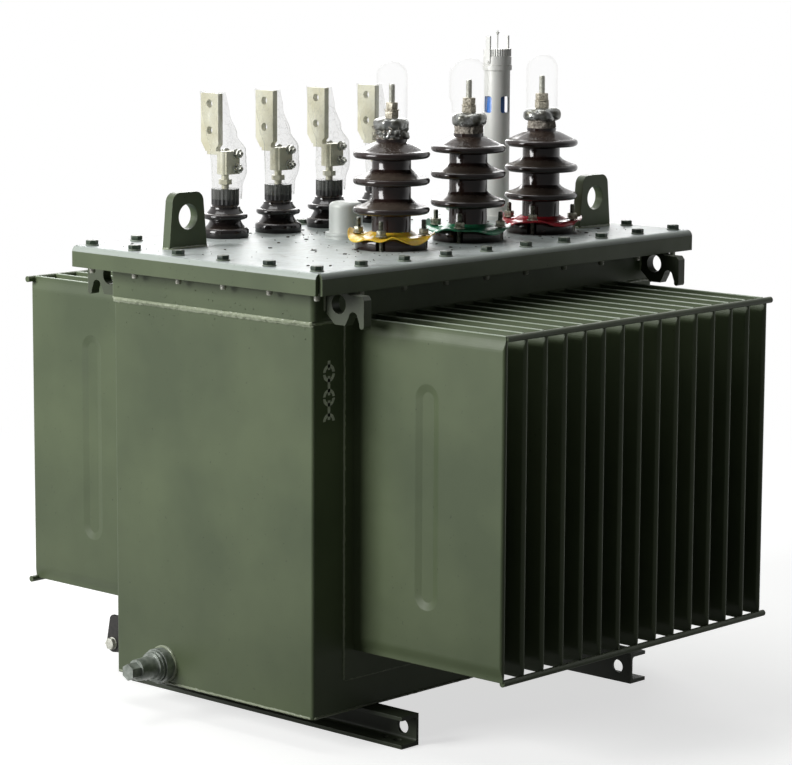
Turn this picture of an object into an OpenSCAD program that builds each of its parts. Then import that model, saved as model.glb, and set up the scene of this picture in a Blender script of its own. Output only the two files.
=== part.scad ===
// Oil-filled distribution transformer with a corrugated-wall tank.
// X runs along the long side, with the drain valve at -X. The high-voltage bushings are on the -Y side
// and the low-voltage ones on the +Y side. The ground is z = 0, midway between the four foot holes.

/* [Tank] */
// Length of the tank over its end plates
tank_l = 804; // [760:1:860]
// Width of the tank over its long walls
tank_w = 438; // [400:1:470]
// Height of the top of the lid above the ground
lid_z = 734; // [728:1:740]
// Height of the band round the top of the tank
band_h = 57; // [50:1:64]
// Outer radius of the vertical tank corners
tank_r = 5; // [3:0.5:12]
// How far the band stands out from the tank walls
frame_out = 4; // [3:0.5:6]

/* [Cooling fins] */
// Distance from one fin to the next
fin_pitch = 44.6; // [42:0.1:48]
// Least distance from a tank end to the middle of a fin
fin_margin = 80; // [70:1:110]
// How far a fin reaches out from the wall
fin_d = 298; // [240:1:320]
// Height of the lower edge of the fins above the ground
fin_z = 144; // [120:1:170]
// Thickness over a fin
fin_t = 10; // [8:0.5:14]
// Thickness of the welded seam at the top and bottom of a fin
fin_seam = 3; // [2:0.5:4]
// Height over which a fin swells from its seam to its full thickness
fin_taper = 24; // [16:1:32]
// Width of the pressed bead in a fin face
bead_w = 46; // [36:1:60]
// Length of the pressed bead in a fin face
bead_l = 340; // [200:5:380]
// Depth of the pressed bead in a fin face
bead_depth = 3; // [1.5:0.25:3.5]
// Diameter of the rods along the outer fin corners
rod_d = 10; // [7:0.5:12]
// How far a rod runs on past the last fin
rod_over = 10; // [5:1:20]

/* [Lid] */
// How far the lid reaches past the tank at each end
lid_over_l = 44; // [38:1:50]
// How far the lid reaches past the tank on each long side
lid_over_w = 55; // [48:1:60]
// Depth of the folded edges from the top of the lid
lid_fold = 33; // [30:1:36]
// Thickness of the lid sheet
lid_t = 6; // [4:0.5:8]
// Outer radius of the lid's bends
lid_r = 10; // [8:1:14]
// How far each folded edge stops short of the lid's corner
lid_relief = 7; // [4:1:12]

/* [Base] */
// Height of the base channels
channel_h = 50; // [45:1:60]
// Width of the base channels over their flanges
channel_w = 38; // [34:1:46]
// Distance between the foot holes along the tank
foot_x = 550; // [540:1:556]
// Distance between the foot holes across the tank
foot_y = 550; // [540:1:560]
// Distance from a foot hole to the end of its channel
foot_end = 28; // [22:1:45]
// Diameter of the foot holes
foot_d = 14; // [11:0.5:18]
// Diameter of the hauling holes in the channel webs
haul_d = 22; // [16:1:26]

/* [Lifting] */
// Thickness of the lifting lugs on the lid
lug_t = 16; // [12:1:20]
// Height of the lifting lugs
lug_h = 87; // [80:1:95]
// Diameter of the hole in a lifting lug
lug_d = 40; // [30:1:42]
// Thickness of the corner ears under the lid
ear_t = 16; // [12:1:20]
// Diameter of the round hole in a corner ear
ear_d = 29; // [24:1:32]
// Width of the mouth of the open slot in a corner ear
ear_slot = 29; // [24:1:34]

/* [High-voltage bushings] */
// Distance from one high-voltage bushing to the next
hv_pitch = 180; // [170:1:190]
// Distance of the high-voltage row from the tank wall beside it
hv_in = 108; // [100:1:116]
// Radius of the sheds of a high-voltage bushing
hv_shed_r = 60; // [54:0.5:64]
// Radius of the porcelain body between the sheds
hv_core_r = 31; // [27:0.5:35]
// Length of a high-voltage stud over its nuts
hv_stud_over = 27; // [20:1:35]
// Radius of the clear covers over the high-voltage studs
cover_r = [24.5, 32, 26];

/* [Low-voltage bushings] */
// Distance from one low-voltage bushing to the next
lv_pitch = 120; // [112:1:125]
// Distance of the low-voltage row from the tank wall beside it
lv_in = 27; // [22:1:32]
// Radius of the base of a low-voltage bushing
lv_base_r = 38; // [34:0.5:40]
// Height of a terminal palm
palm_h = 92; // [80:1:100]
// Width of a terminal palm
palm_w = 40; // [35:1:45]
// Thickness of a terminal palm
palm_t = 10; // [6:0.5:12]
// Distance between the two holes of a terminal palm
palm_pitch = 43; // [38:1:46]
// Diameter of the holes of a terminal palm
palm_d = 13; // [11:0.5:16]

/* [Fittings] */
// Diameter of the oil level gauge tube
gauge_d = 44; // [36:1:48]
// Height of the gauge tube above the lid
gauge_h = 253; // [216:1:266]
// Height of the drain valve above the ground
valve_z = 81; // [75:1:95]
// How far the drain valve reaches out from the tank end
valve_out = 77; // [70:1:90]

/* [Hidden] */
$fn = 48;

// Colours as they look in daylight
olive = "#5f6b50";
porcelain = "#3a2a26";
silver = "#b9bcb8";
palm_metal = "#cfcab4";
black_rubber = "#26282a";
clear_plastic = [0.9, 0.93, 0.92, 0.35];

// Gap between pieces that only rest against each other
seat_gap = 0.15;
// Lid, gasket, flange and band lie on each other from the top down
lid_l = tank_l + 2 * lid_over_l;
lid_w = tank_w + 2 * lid_over_w;
gasket_t = 6;
flange_t = 10;
gasket_z = lid_z - lid_t - gasket_t;
flange_z = gasket_z - flange_t;
frame_z = flange_z - band_h;
// The flange stays clear of the inside of the lid's folded edge
flange_gap = 4;
flange_l = lid_l - 2 * (lid_t + flange_gap);
flange_w = lid_w - 2 * (lid_t + flange_gap);
gasket_in = 4;
gasket_lap = 30;
// Walls of the fin banks, which end just under the band
wall_t = 2;
wall_end = 23;
wall_drop = 44;
fin_gap = 0.3;
fin_n = floor((tank_l - 2 * fin_margin) / fin_pitch) + 1;
wall_l = (fin_n - 1) * fin_pitch + 2 * wall_end;
wall_y = tank_w / 2 + wall_t;
fin_h = frame_z - fin_gap - fin_z;
// Flat part of a fin's seams, and the run of a bead's sloped sides
fin_lip = 4;
bead_side = 12;
// A rod starts inside the fin at one end of its bank and runs on past the fin at the other end
rod_l = (fin_n - 1) * fin_pitch + fin_t / 2 + rod_over;
rod_mid_x = -(fin_t / 2 + rod_over) / 2;
rod_y = wall_y + fin_d - rod_d / 4;
rod_z = [fin_z - 1, fin_z + fin_h - rod_d / 2];
// Base channels
channel_web = 5;
channel_flange = 6;
channel_root = 5;
foot_back = 17;
foot_small_d = 8;
foot_small_in = 25;
channel_x = foot_x / 2 - foot_back;
channel_l = foot_y + 2 * foot_end;
// Lifting lugs stand at opposite corners of the lid
lug_end = [62, 37];
lug_in = [97, 101];
lug_x = [lug_end[0] - tank_l / 2, tank_l / 2 - lug_end[1]];
lug_y = [tank_w / 2 - lug_in[0], lug_in[1] - tank_w / 2];
lug_top = 66;
lug_foot = lug_top + 14;
lug_corner = 16;
lug_hole_z = lug_h - 38;
// Corner ears, from the tank wall outwards
ear_in = 28;
ear_reach = 29;
ear_h = 46;
ear_hole_drop = 15.5;
ear_leg = 9;
ear_arch_r = 9;
ear_x = tank_l / 2 - ear_in;
ear_hole_y = tank_w / 2 + frame_out + ear_reach;
ear_mouth_y = ear_hole_y + ear_d / 2 - 1.5;
ear_out = ear_mouth_y + ear_slot + ear_leg;
ear_top_z = lid_z - lid_fold - 3;
ear_foot_z = ear_top_z - ear_h;
ear_hole_z = ear_top_z - ear_hole_drop;
ear_arch_y = ear_out - ear_leg - ear_arch_r - 3.5;
ear_arch_z = ear_foot_z + 12.5;
// The high-voltage row keeps its last phase collar clear of the lifting lug beside it
collar_r = hv_shed_r + 8;
collar_t = 2;
lug_clear = 15;
hv_last_x = lug_x[1] - lug_foot / 2 - lug_clear - collar_r;
hv_x = [for (i = [2:-1:0]) hv_last_x - i * hv_pitch];
hv_y = tank_w / 2 - hv_in;
// Four notches in the base of a high-voltage bushing let its clamp studs pass
stud_ring_r = 53;
stud_turn = 26.5;
notch_r = 6;
// Heights on a high-voltage bushing, above the lid
hv_base_r = hv_shed_r - 3;
hv_base_h = 20;
hv_shed_z = [60.5, 106, 147];
hv_shed_edge = 4;
hv_shed_rise = 19;
hv_neck_r = 24;
hv_neck_z = 171;
hv_cap_z = 183;
hv_cap_h = 20;
hv_cap_r = 29;
hv_nut_d = 24;
hv_nut_h = 13;
hv_stud_d = 10;
hv_stud_h = hv_cap_z + hv_cap_h + 2 * hv_nut_h + hv_stud_over;
cover_wall = 1.5;
cover_top = hv_stud_h + 36;
// Heights on a low-voltage bushing, above the lid
lv_mid_x = -5;
lv_x = [for (i = [0:3]) lv_mid_x + (i - 1.5) * lv_pitch];
lv_y = tank_w / 2 - lv_in;
lv_wall_h = 11;
lv_cone_h = 23;
lv_neck_r = 24;
lv_shed_z = 32.5;
lv_shed_r = 36;
lv_top_z = 53;
sleeve_r = 22.5;
sleeve_h = 25;
sleeve_z = lv_top_z + sleeve_h;
sleeve_ribs = 20;
lv_stud_d = 12;
lv_nut_z = sleeve_z + 7;
lv_nut_h = 8;
lv_nut_d = 22;
clamp_z = sleeve_z + 23;
clamp_r = 11;
clamp_out = 22;
clamp_split = 2;
plate_z = clamp_z + 31;
plate_t = 6;
plate_r = 7.5;
palm_z = plate_z + plate_t;
palm_top_z = palm_z + palm_h;
palm_x = -3.5;
palm_y = [27, 23.5, 23, 21.5];
palm_edge = 16.5;
palm_cut = 10;
palm_notch = 5;
film = 1;
// Filler
filler_x = -60;
filler_y = 43;
filler_r = 27;
filler_flange_r = 33;
filler_flange_h = 10;
filler_h = 59;
filler_round = 8;
// Oil level gauge
gauge_in = 50;
gauge_x = tank_l / 2 - gauge_in;
gauge_y = 82;
gauge_turn = -7.5;
gauge_wall = 3;
gauge_flange_r = 32;
gauge_flange_h = 7;
gauge_collar_h = 20;
gauge_floor = 8;
window_w = 18;
window_h = 28;
window_drop = 57;
window_z = gauge_h - window_drop;
window_r = 4;
float_gap = 6;
float_top = window_z + 32;
// Heights on the gauge head, above the tube
head_r = 24;
head_groove = 1;
head_collar_h = 9;
head_ring_h = 24;
head_h = 37;
knurl_ribs = 36;
strip_h = 59;
strip_w = 9.5;
strip_t = 3;
strip_seat = 2;
screw_r = 2.2;
screw_h = 1.5;
needle_d = 2.4;
needle_h = 68;
// Drain valve
valve_in = 110;
valve_y = tank_w / 2 - valve_in;
boss_r = 27;
boss_l = 18;
ring_r = 23;
ring_end = 28;
barrel_r = 18;
barrel_end = valve_out - 18;
plug_d = 27;
// Earth terminal, a plate on the wall beside the tank's corner
earth_in = 14;
earth_x = earth_in - tank_l / 2;
earth_t = 6;
earth_out = 37;
earth_r = 14.5;
earth_hole = 11;
earth_z = valve_z + 9;
earth_h = 46;

// A bar with rounded vertical edges, centred on the Z axis
module round_bar(l, w, h, r) {
    linear_extrude(h) round_rect(l, w, r);
}

// A rectangle with rounded corners, centred on the origin
module round_rect(l, w, r) {
    square([l - 2 * r, w], center = true);
    square([l, w - 2 * r], center = true);
    for (sx = [-1, 1], sy = [-1, 1])
        translate([sx * (l / 2 - r), sy * (w / 2 - r)]) circle(r);
}

// A flat shape in the Y-Z plane, given its thickness along X
module along_x(t) {
    rotate([90, 0, 90]) linear_extrude(t, center = true) children();
}

// A flat shape in the X-Z plane, given its thickness along Y
module along_y(t) {
    rotate([90, 0, 0]) linear_extrude(t, center = true) children();
}

module tank() {
    color(olive) translate([0, 0, channel_h])
        round_bar(tank_l, tank_w, gasket_z - channel_h, tank_r);
}

// Ring of height h round the top of the tank
module tank_ring(l, w, z, h, r) {
    color(olive) translate([0, 0, z]) difference() {
        round_bar(l, w, h, r);
        translate([0, 0, -1]) round_bar(tank_l, tank_w, h + 2, tank_r);
    }
}

module frame_band() {
    tank_ring(tank_l + 2 * frame_out, tank_w + 2 * frame_out, frame_z, band_h, tank_r + frame_out);
}

module frame_flange() { tank_ring(flange_l, flange_w, flange_z, flange_t, tank_r + frame_out); }

module lid_gasket() {
    color(black_rubber) translate([0, 0, gasket_z]) difference() {
        round_bar(flange_l - 2 * gasket_in, flange_w - 2 * gasket_in, gasket_t, tank_r);
        translate([0, 0, -1])
            round_bar(tank_l - 2 * gasket_lap, tank_w - 2 * gasket_lap, gasket_t + 2, tank_r);
    }
}

// Bend and folded edge of one side of the lid, its outer face at x = 0 and its top at z = 0
module lid_edge(length) {
    rotate([90, 0, 0]) linear_extrude(length, center = true) {
        difference() {
            translate([lid_r, -lid_r]) circle(lid_r);
            translate([lid_r, -lid_r]) circle(lid_r - lid_t);
            translate([0, -2 * lid_r - 1]) square([3 * lid_r, lid_r + 1]);
            translate([lid_r, -2 * lid_r - 1]) square([2 * lid_r, 3 * lid_r]);
        }
        translate([0, -lid_fold]) square([lid_t, lid_fold - lid_r]);
    }
}

module lid() {
    color(olive) translate([0, 0, lid_z]) {
        translate([0, 0, -lid_t / 2]) cube([lid_l - 2 * lid_r, lid_w - 2 * lid_r, lid_t], center = true);
        for (side = [0, 180]) rotate([0, 0, side])
            translate([-lid_l / 2, 0, 0]) lid_edge(lid_w - 2 * lid_relief);
        for (side = [90, 270]) rotate([0, 0, side])
            translate([-lid_w / 2, 0, 0]) lid_edge(lid_l - 2 * lid_relief);
    }
}

// Outline of a fin seen from outside, with a flat seam at both ends and shoulders that swell from them
module fin_section() {
    seam = fin_seam / 2;
    swell = fin_t / 2 - seam;
    rise = fin_taper - fin_lip;
    steps = 6;
    shoulder = [for (k = [0:steps]) [seam + swell * pow(sin(90 * k / steps), 2), fin_lip + rise * k / steps]];
    low = concat([[seam, 0]], shoulder);
    n = len(low) - 1;
    right = concat(low, [for (k = [n:-1:0]) [low[k][0], fin_h - low[k][1]]]);
    left = [for (k = [2 * n + 1:-1:0]) [-right[k][0], right[k][1]]];
    polygon(concat(right, left));
}

// Groove of a pressed bead, opening towards -X at x = 0, with sloped sides and a flat floor
module bead() {
    over = 0.5;
    floor_r = bead_w / 2 - bead_side;
    mouth_r = bead_w / 2 + bead_side * over / bead_depth;
    straight = bead_l - bead_w;
    linear_extrude(straight, center = true)
        polygon([[-over, -mouth_r], [bead_depth, -floor_r], [bead_depth, floor_r], [-over, mouth_r]]);
    for (end = [0, 180]) rotate([end, 0, 0]) translate([0, 0, straight / 2])
        rotate([90, 0, 90]) rotate_extrude(angle = 180)
            polygon([[0, -over], [mouth_r, -over], [floor_r, bead_depth], [0, bead_depth]]);
}

// One fin that reaches out along +Y from y = 0, with its lower seam at z = 0
module fin() {
    t = fin_t / 2;
    difference() {
        intersection() {
            translate([0, fin_d / 2, 0]) along_y(fin_d + 2) fin_section();
            linear_extrude(fin_h) union() {
                translate([-t, 0]) square([fin_t, fin_d - t]);
                translate([0, fin_d - t]) circle(t);
            }
        }
        for (side = [0, 1]) mirror([side, 0, 0]) translate([-t, fin_d / 2, fin_h / 2]) bead();
    }
}

// Seats of the two rods in the outer corners of the fins, the upper one open to the top
module rod_seats() {
    seat_r = rod_d / 2 + seat_gap;
    translate([rod_mid_x, 0, 0]) along_x(rod_l + 2 * seat_gap) {
        for (z = rod_z) translate([rod_y, z]) circle(seat_r);
        translate([rod_y - seat_r, rod_z[1]]) square(2 * seat_r);
    }
}

module fin_bank() {
    color(olive) difference() {
        for (i = [0:fin_n - 1])
            translate([(i - (fin_n - 1) / 2) * fin_pitch, wall_y, fin_z]) fin();
        rod_seats();
    }
}

module fin_rods() {
    color(olive) for (z = rod_z) translate([rod_mid_x, rod_y, z])
        rotate([0, 90, 0]) cylinder(h = rod_l, d = rod_d, center = true);
}

module fin_wall() {
    color(olive) translate([-wall_l / 2, tank_w / 2, fin_z - wall_drop])
        cube([wall_l, wall_t, fin_h + wall_drop]);
}

// The high-voltage bank is the same panel, turned about the tank's middle
module hv_wall() { rotate([0, 0, 180]) fin_wall(); }
module hv_fins() { rotate([0, 0, 180]) fin_bank(); }
module hv_fin_rods() { rotate([0, 0, 180]) fin_rods(); }
module lv_wall() { fin_wall(); }
module lv_fins() { fin_bank(); }
module lv_fin_rods() { fin_rods(); }

// Base channel with its web towards the middle of the tank and its flanges towards -X
module base_channel() {
    pocket_h = channel_h - 2 * channel_flange;
    pocket_w = channel_w - channel_web;
    color(olive) difference() {
        along_y(channel_l) difference() {
            translate([-channel_w, 0]) square([channel_w, channel_h]);
            translate([-channel_w - 1, channel_flange]) square([pocket_w - channel_root + 1, pocket_h]);
            translate([-channel_web - channel_root - 1, channel_flange + channel_root])
                square([channel_root + 1, pocket_h - 2 * channel_root]);
            for (z = [channel_flange + channel_root, channel_h - channel_flange - channel_root])
                translate([-channel_web - channel_root, z]) circle(channel_root);
        }
        for (side = [-1, 1]) {
            translate([-foot_back, side * foot_y / 2, -1]) cylinder(h = channel_flange + 2, d = foot_d);
            translate([-foot_back, side * (foot_y / 2 - foot_small_in), -1])
                cylinder(h = channel_flange + 2, d = foot_small_d);
            translate([-channel_web / 2, side * foot_y / 2, channel_h / 2])
                rotate([0, 90, 0]) cylinder(h = channel_web + 2, d = haul_d, center = true);
        }
    }
}

module channel_left() { translate([-channel_x, 0, 0]) base_channel(); }
module channel_right() { mirror([1, 0, 0]) channel_left(); }

// Lifting lug, standing on the lid with its hole across the tank
module lifting_lug(i) {
    corner_x = lug_top / 2 - lug_corner;
    color(olive) translate([lug_x[i], lug_y[i], lid_z]) along_y(lug_t) difference() {
        union() {
            polygon([
                [-lug_foot / 2, 0], [lug_foot / 2, 0],
                [lug_top / 2, lug_h - lug_corner], [corner_x, lug_h],
                [-corner_x, lug_h], [-lug_top / 2, lug_h - lug_corner]
            ]);
            for (side = [-1, 1]) translate([side * corner_x, lug_h - lug_corner]) circle(lug_corner);
        }
        translate([0, lug_hole_z]) circle(d = lug_d);
    }
}

module lifting_lug_left() { lifting_lug(0); }
module lifting_lug_right() { lifting_lug(1); }

// Ear on the +Y side of the top band, with a shackle hole and a lashing slot open below
module corner_ear() {
    root = tank_w / 2 + frame_out;
    leg_r = ear_leg / 2;
    leg_y = ear_out - ear_leg;
    shelf_z = flange_z - 8;
    along_x(ear_t) difference() {
        union() {
            polygon([
                [root, shelf_z], [ear_hole_y + 13, shelf_z], [ear_hole_y + 21, ear_top_z],
                [ear_out - 5, ear_top_z], [ear_out, ear_top_z - 6], [ear_out, ear_foot_z + 2],
                [leg_y, ear_foot_z + 2], [ear_mouth_y, ear_foot_z],
                [ear_hole_y - 8, ear_foot_z], [root, ear_foot_z + 19]
            ]);
            translate([ear_out - leg_r, ear_foot_z + 2]) circle(leg_r);
        }
        translate([ear_hole_y, ear_hole_z]) circle(d = ear_d);
        translate([ear_arch_y, ear_arch_z]) circle(ear_arch_r);
        polygon([
            [ear_arch_y - ear_arch_r, ear_arch_z + 1], [ear_arch_y + ear_arch_r, ear_arch_z + 1],
            [leg_y, ear_arch_z - 8], [leg_y, ear_foot_z - 8], [ear_mouth_y, ear_foot_z - 8],
            [ear_mouth_y, ear_foot_z]
        ]);
    }
}

module lv_side_ears() {
    color(olive) for (side = [-1, 1]) translate([side * ear_x, 0, 0]) corner_ear();
}
module hv_side_ears() { mirror([0, 1, 0]) lv_side_ears(); }

// Right half of one shed of a bushing, a rounded rim under a slope that curves up to the body
module shed(rim_r, body_r, z, edge, rise) {
    run = rim_r - edge / 2 - body_r;
    translate([0, z]) {
        polygon(concat(
            [[0, -edge - 2], [body_r, -edge - 2], [rim_r - edge, -edge]],
            [for (t = [0, 0.3, 0.6, 0.8, 0.92, 1])
                [rim_r - edge / 2 - run * t, edge * 0.86 + rise * (0.72 * t + 0.28 * pow(t, 6))]],
            [[0, edge * 0.86 + rise]]
        ));
        translate([rim_r - edge, 0]) circle(edge);
    }
}

module hv_porcelain(i) {
    color(porcelain) translate([hv_x[i], -hv_y, lid_z]) difference() {
        rotate_extrude($fn = 64) {
            square([hv_base_r, hv_base_h]);
            square([hv_core_r, hv_shed_z[2]]);
            for (k = [0, 1]) shed(hv_shed_r, hv_core_r, hv_shed_z[k], hv_shed_edge, hv_shed_rise);
            shed(hv_shed_r, hv_neck_r, hv_shed_z[2], hv_shed_edge, hv_shed_rise - 2);
            square([hv_neck_r, hv_neck_z]);
        }
        for (turn = [0:90:270]) rotate([0, 0, stud_turn + turn]) translate([stud_ring_r, 0, -1])
            cylinder(h = hv_base_h + 2, r = notch_r);
    }
}

module hv_porcelain_1() { hv_porcelain(0); }
module hv_porcelain_2() { hv_porcelain(1); }
module hv_porcelain_3() { hv_porcelain(2); }

// Coloured phase collar, a thin plastic ring that lies on the base of a bushing
module hv_phase_collar(i, phase_colour) {
    color(phase_colour) translate([hv_x[i], -hv_y, lid_z + hv_base_h]) difference() {
        cylinder(h = collar_t, r = collar_r, $fn = 64);
        translate([0, 0, -1]) cylinder(h = collar_t + 2, r = hv_core_r + 1, $fn = 64);
    }
}

module hv_phase_collar_1() { hv_phase_collar(0, "#f0b51f"); }
module hv_phase_collar_2() { hv_phase_collar(1, "#2f7f5b"); }
module hv_phase_collar_3() { hv_phase_collar(2, "#b8323c"); }

// Metal cap, two nuts and stud on top of a high-voltage bushing
module hv_terminal(i) {
    skirt = 3;
    nut_z = hv_cap_z + hv_cap_h;
    color(silver) translate([hv_x[i], -hv_y, lid_z]) {
        rotate_extrude($fn = 48) {
            translate([0, hv_neck_z]) square([hv_neck_r - skirt, hv_cap_z - hv_neck_z + 1]);
            translate([0, hv_cap_z]) square([hv_cap_r - 2 * skirt, hv_cap_h]);
            translate([0, hv_cap_z + skirt]) square([hv_cap_r, hv_cap_h - 3 * skirt]);
            translate([hv_cap_r - skirt, hv_cap_z + skirt]) circle(skirt);
            translate([hv_cap_r - 2 * skirt, nut_z - 2 * skirt]) circle(2 * skirt);
        }
        translate([0, 0, nut_z]) cylinder(h = hv_nut_h - 1, d = hv_nut_d, $fn = 6);
        translate([0, 0, nut_z + hv_nut_h]) rotate([0, 0, 20])
            cylinder(h = hv_nut_h, d = hv_nut_d - 2, $fn = 6);
        translate([0, 0, hv_cap_z]) cylinder(h = hv_stud_h - hv_cap_z, d = hv_stud_d, $fn = 32);
    }
}

module hv_terminal_1() { hv_terminal(0); }
module hv_terminal_2() { hv_terminal(1); }
module hv_terminal_3() { hv_terminal(2); }

// Clear domed cover that stands on the cap over the stud
module hv_clear_cover(i) {
    base = hv_cap_z + hv_cap_h;
    r = cover_r[i];
    foot_r = min(r, hv_cap_r - 1);
    color(clear_plastic) translate([hv_x[i], -hv_y, lid_z]) rotate_extrude($fn = 48) difference() {
        union() {
            polygon([
                [0, base], [foot_r, base], [foot_r, base + 12], [r, base + 26],
                [r, cover_top - r], [0, cover_top - r]
            ]);
            intersection() {
                translate([0, cover_top - r]) circle(r);
                translate([0, base]) square([r, cover_top - base]);
            }
        }
        polygon([
            [0, base - 1], [foot_r - cover_wall, base - 1], [foot_r - cover_wall, base + 12],
            [r - cover_wall, base + 26], [r - cover_wall, cover_top - r], [0, cover_top - r]
        ]);
        intersection() {
            translate([0, cover_top - r]) circle(r - cover_wall);
            translate([0, base - 1]) square([r, cover_top - base]);
        }
    }
}

module hv_clear_cover_1() { hv_clear_cover(0); }
module hv_clear_cover_2() { hv_clear_cover(1); }
module hv_clear_cover_3() { hv_clear_cover(2); }

module lv_porcelain(i) {
    color(porcelain) translate([lv_x[i], lv_y, lid_z]) rotate_extrude($fn = 64) {
        polygon([
            [0, 0], [lv_base_r - 2, 0], [lv_base_r, 2], [lv_base_r, lv_wall_h],
            [lv_base_r - 3, lv_wall_h + 3], [lv_neck_r + 2, lv_cone_h],
            [lv_neck_r, lv_shed_z - 4], [0, lv_shed_z - 4]
        ]);
        shed(lv_shed_r, lv_neck_r, lv_shed_z, 3.5, 12);
        square([lv_neck_r, lv_top_z - 3]);
        translate([0, lv_top_z - 3]) square([lv_neck_r - 2, 3]);
    }
}

module lv_porcelain_1() { lv_porcelain(0); }
module lv_porcelain_2() { lv_porcelain(1); }
module lv_porcelain_3() { lv_porcelain(2); }
module lv_porcelain_4() { lv_porcelain(3); }

// Outline of a round grip with upright ribs
module ribbed_disc(r, ribs, depth) {
    step = 180 / ribs;
    polygon([for (i = [0:2 * ribs - 1]) let (reach = r - (i % 2) * depth)
        [reach * cos(i * step), reach * sin(i * step)]]);
}

// Black ribbed sealing sleeves on top of the low-voltage porcelains
module lv_sleeves() {
    color(black_rubber) for (x = lv_x) translate([x, lv_y, lid_z + lv_top_z])
        linear_extrude(sleeve_h) ribbed_disc(sleeve_r, sleeve_ribs, 1.6);
}

// Stud, nut, split clamp and two-hole palm of one low-voltage bushing
module lv_terminal(i) {
    color(palm_metal) translate([lv_x[i], lv_y, lid_z]) {
        translate([0, 0, sleeve_z]) cylinder(h = plate_z - sleeve_z, d = lv_stud_d, $fn = 32);
        translate([0, 0, lv_nut_z]) cylinder(h = lv_nut_h, d = lv_nut_d, $fn = 6);
        difference() {
            translate([0, 0, clamp_z]) linear_extrude(plate_z - clamp_z) {
                circle(clamp_r);
                translate([3.5 - clamp_r, -clamp_r]) square([clamp_out + clamp_r - 3.5, 2 * clamp_r]);
            }
            translate([lv_stud_d / 2 - 1, -clamp_split / 2, clamp_z - 1])
                cube([clamp_out, clamp_split, plate_z - clamp_z + 1]);
        }
        translate([0, 0, plate_z]) linear_extrude(plate_t) {
            circle(clamp_r);
            translate([3.5 - clamp_r, -clamp_r]) square([clamp_out + clamp_r - 3.5, 2 * clamp_r]);
            translate([palm_x + 2 - plate_r, 0]) square([2 * plate_r, palm_y[i] + palm_w / 2 - 10 - plate_r]);
            translate([palm_x + 2, palm_y[i] + palm_w / 2 - 10 - plate_r]) circle(plate_r);
        }
        translate([palm_x, palm_y[i], 0]) along_x(palm_t) difference() {
            near = -palm_w / 2;
            far = palm_w / 2;
            polygon([
                [near + palm_notch, palm_z - 1], [near + palm_notch, palm_z + palm_notch],
                [near, palm_z + 2 * palm_notch], [near, palm_top_z], [far, palm_top_z],
                [far, palm_z + 1.4 * palm_cut], [far - palm_cut, palm_z], [far - palm_cut, palm_z - 1]
            ]);
            for (z = [palm_top_z - palm_edge, palm_top_z - palm_edge - palm_pitch])
                translate([0, z]) circle(d = palm_d);
        }
    }
}

module lv_terminal_1() { lv_terminal(0); }
module lv_terminal_2() { lv_terminal(1); }
module lv_terminal_3() { lv_terminal(2); }
module lv_terminal_4() { lv_terminal(3); }

// Thin film bags that hang over the palms and close round the sleeves, w is the film left off inside
module film_body(i, w) {
    mouth_r = sleeve_r + seat_gap + film - w;
    hull() {
        translate([0, 0, sleeve_z - 16 - w]) cylinder(h = 10 + w, r = mouth_r, $fn = 24);
        translate([4, -5, clamp_z + 1]) cylinder(h = 36, r = 29 - w, $fn = 24);
        translate([palm_x, palm_y[i] + 8, plate_z]) cylinder(h = 10, r = 16 - w, $fn = 24);
        translate([palm_x - palm_t / 2 - 3 + w, palm_y[i] - palm_w / 2 - 6 + w, palm_top_z - w])
            cube([palm_t + 6 - 2 * w, palm_w + 10 - 2 * w, 3]);
    }
}

module lv_film_bags() {
    color(clear_plastic) for (i = [0:3]) translate([lv_x[i], lv_y, lid_z]) difference() {
        film_body(i, 0);
        film_body(i, film);
    }
}

module filler_cap() {
    color(silver) translate([filler_x, filler_y, lid_z]) rotate_extrude($fn = 64) {
        square([filler_flange_r, filler_flange_h * 0.45]);
        square([filler_flange_r - 1.5, filler_flange_h]);
        translate([0, filler_flange_h * 0.55]) square([filler_flange_r, filler_flange_h * 0.45]);
        square([filler_r, filler_h - filler_round]);
        square([filler_r - filler_round, filler_h]);
        translate([filler_r - filler_round, filler_h - filler_round]) circle(filler_round);
    }
}

module gauge_tube() {
    color(silver) translate([gauge_x, gauge_y, lid_z]) difference() {
        union() {
            cylinder(h = gauge_flange_h, r = gauge_flange_r);
            cylinder(h = gauge_collar_h, d = gauge_d + 4);
            cylinder(h = gauge_h, d = gauge_d);
        }
        translate([0, 0, gauge_floor]) cylinder(h = gauge_h, d = gauge_d - 2 * gauge_wall);
        translate([0, 0, window_z]) rotate([0, 0, gauge_turn]) {
            along_x(gauge_d + 2) round_rect(window_w, window_h, window_r);
            along_y(gauge_d + 2) round_rect(window_w, window_h, window_r);
        }
    }
}

module gauge_float() {
    color("#3f77c4") translate([gauge_x, gauge_y, lid_z + gauge_floor])
        cylinder(h = float_top - gauge_floor, d = gauge_d - 2 * (gauge_wall + float_gap));
}

// Upright strip with a rounded foot and a pivot screw, its inner face at x = 0
module gauge_strip() {
    low = head_collar_h + head_groove + 0.5;
    translate([strip_t / 2, 0, 0]) along_x(strip_t) {
        translate([-strip_w / 2, low + strip_w / 2]) square([strip_w, strip_h - low - strip_w / 2]);
        translate([0, low + strip_w / 2]) circle(strip_w / 2);
    }
    translate([0, 0, low + strip_w / 2]) rotate([0, 90, 0]) cylinder(h = strip_t + screw_h, r = screw_r);
}

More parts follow.
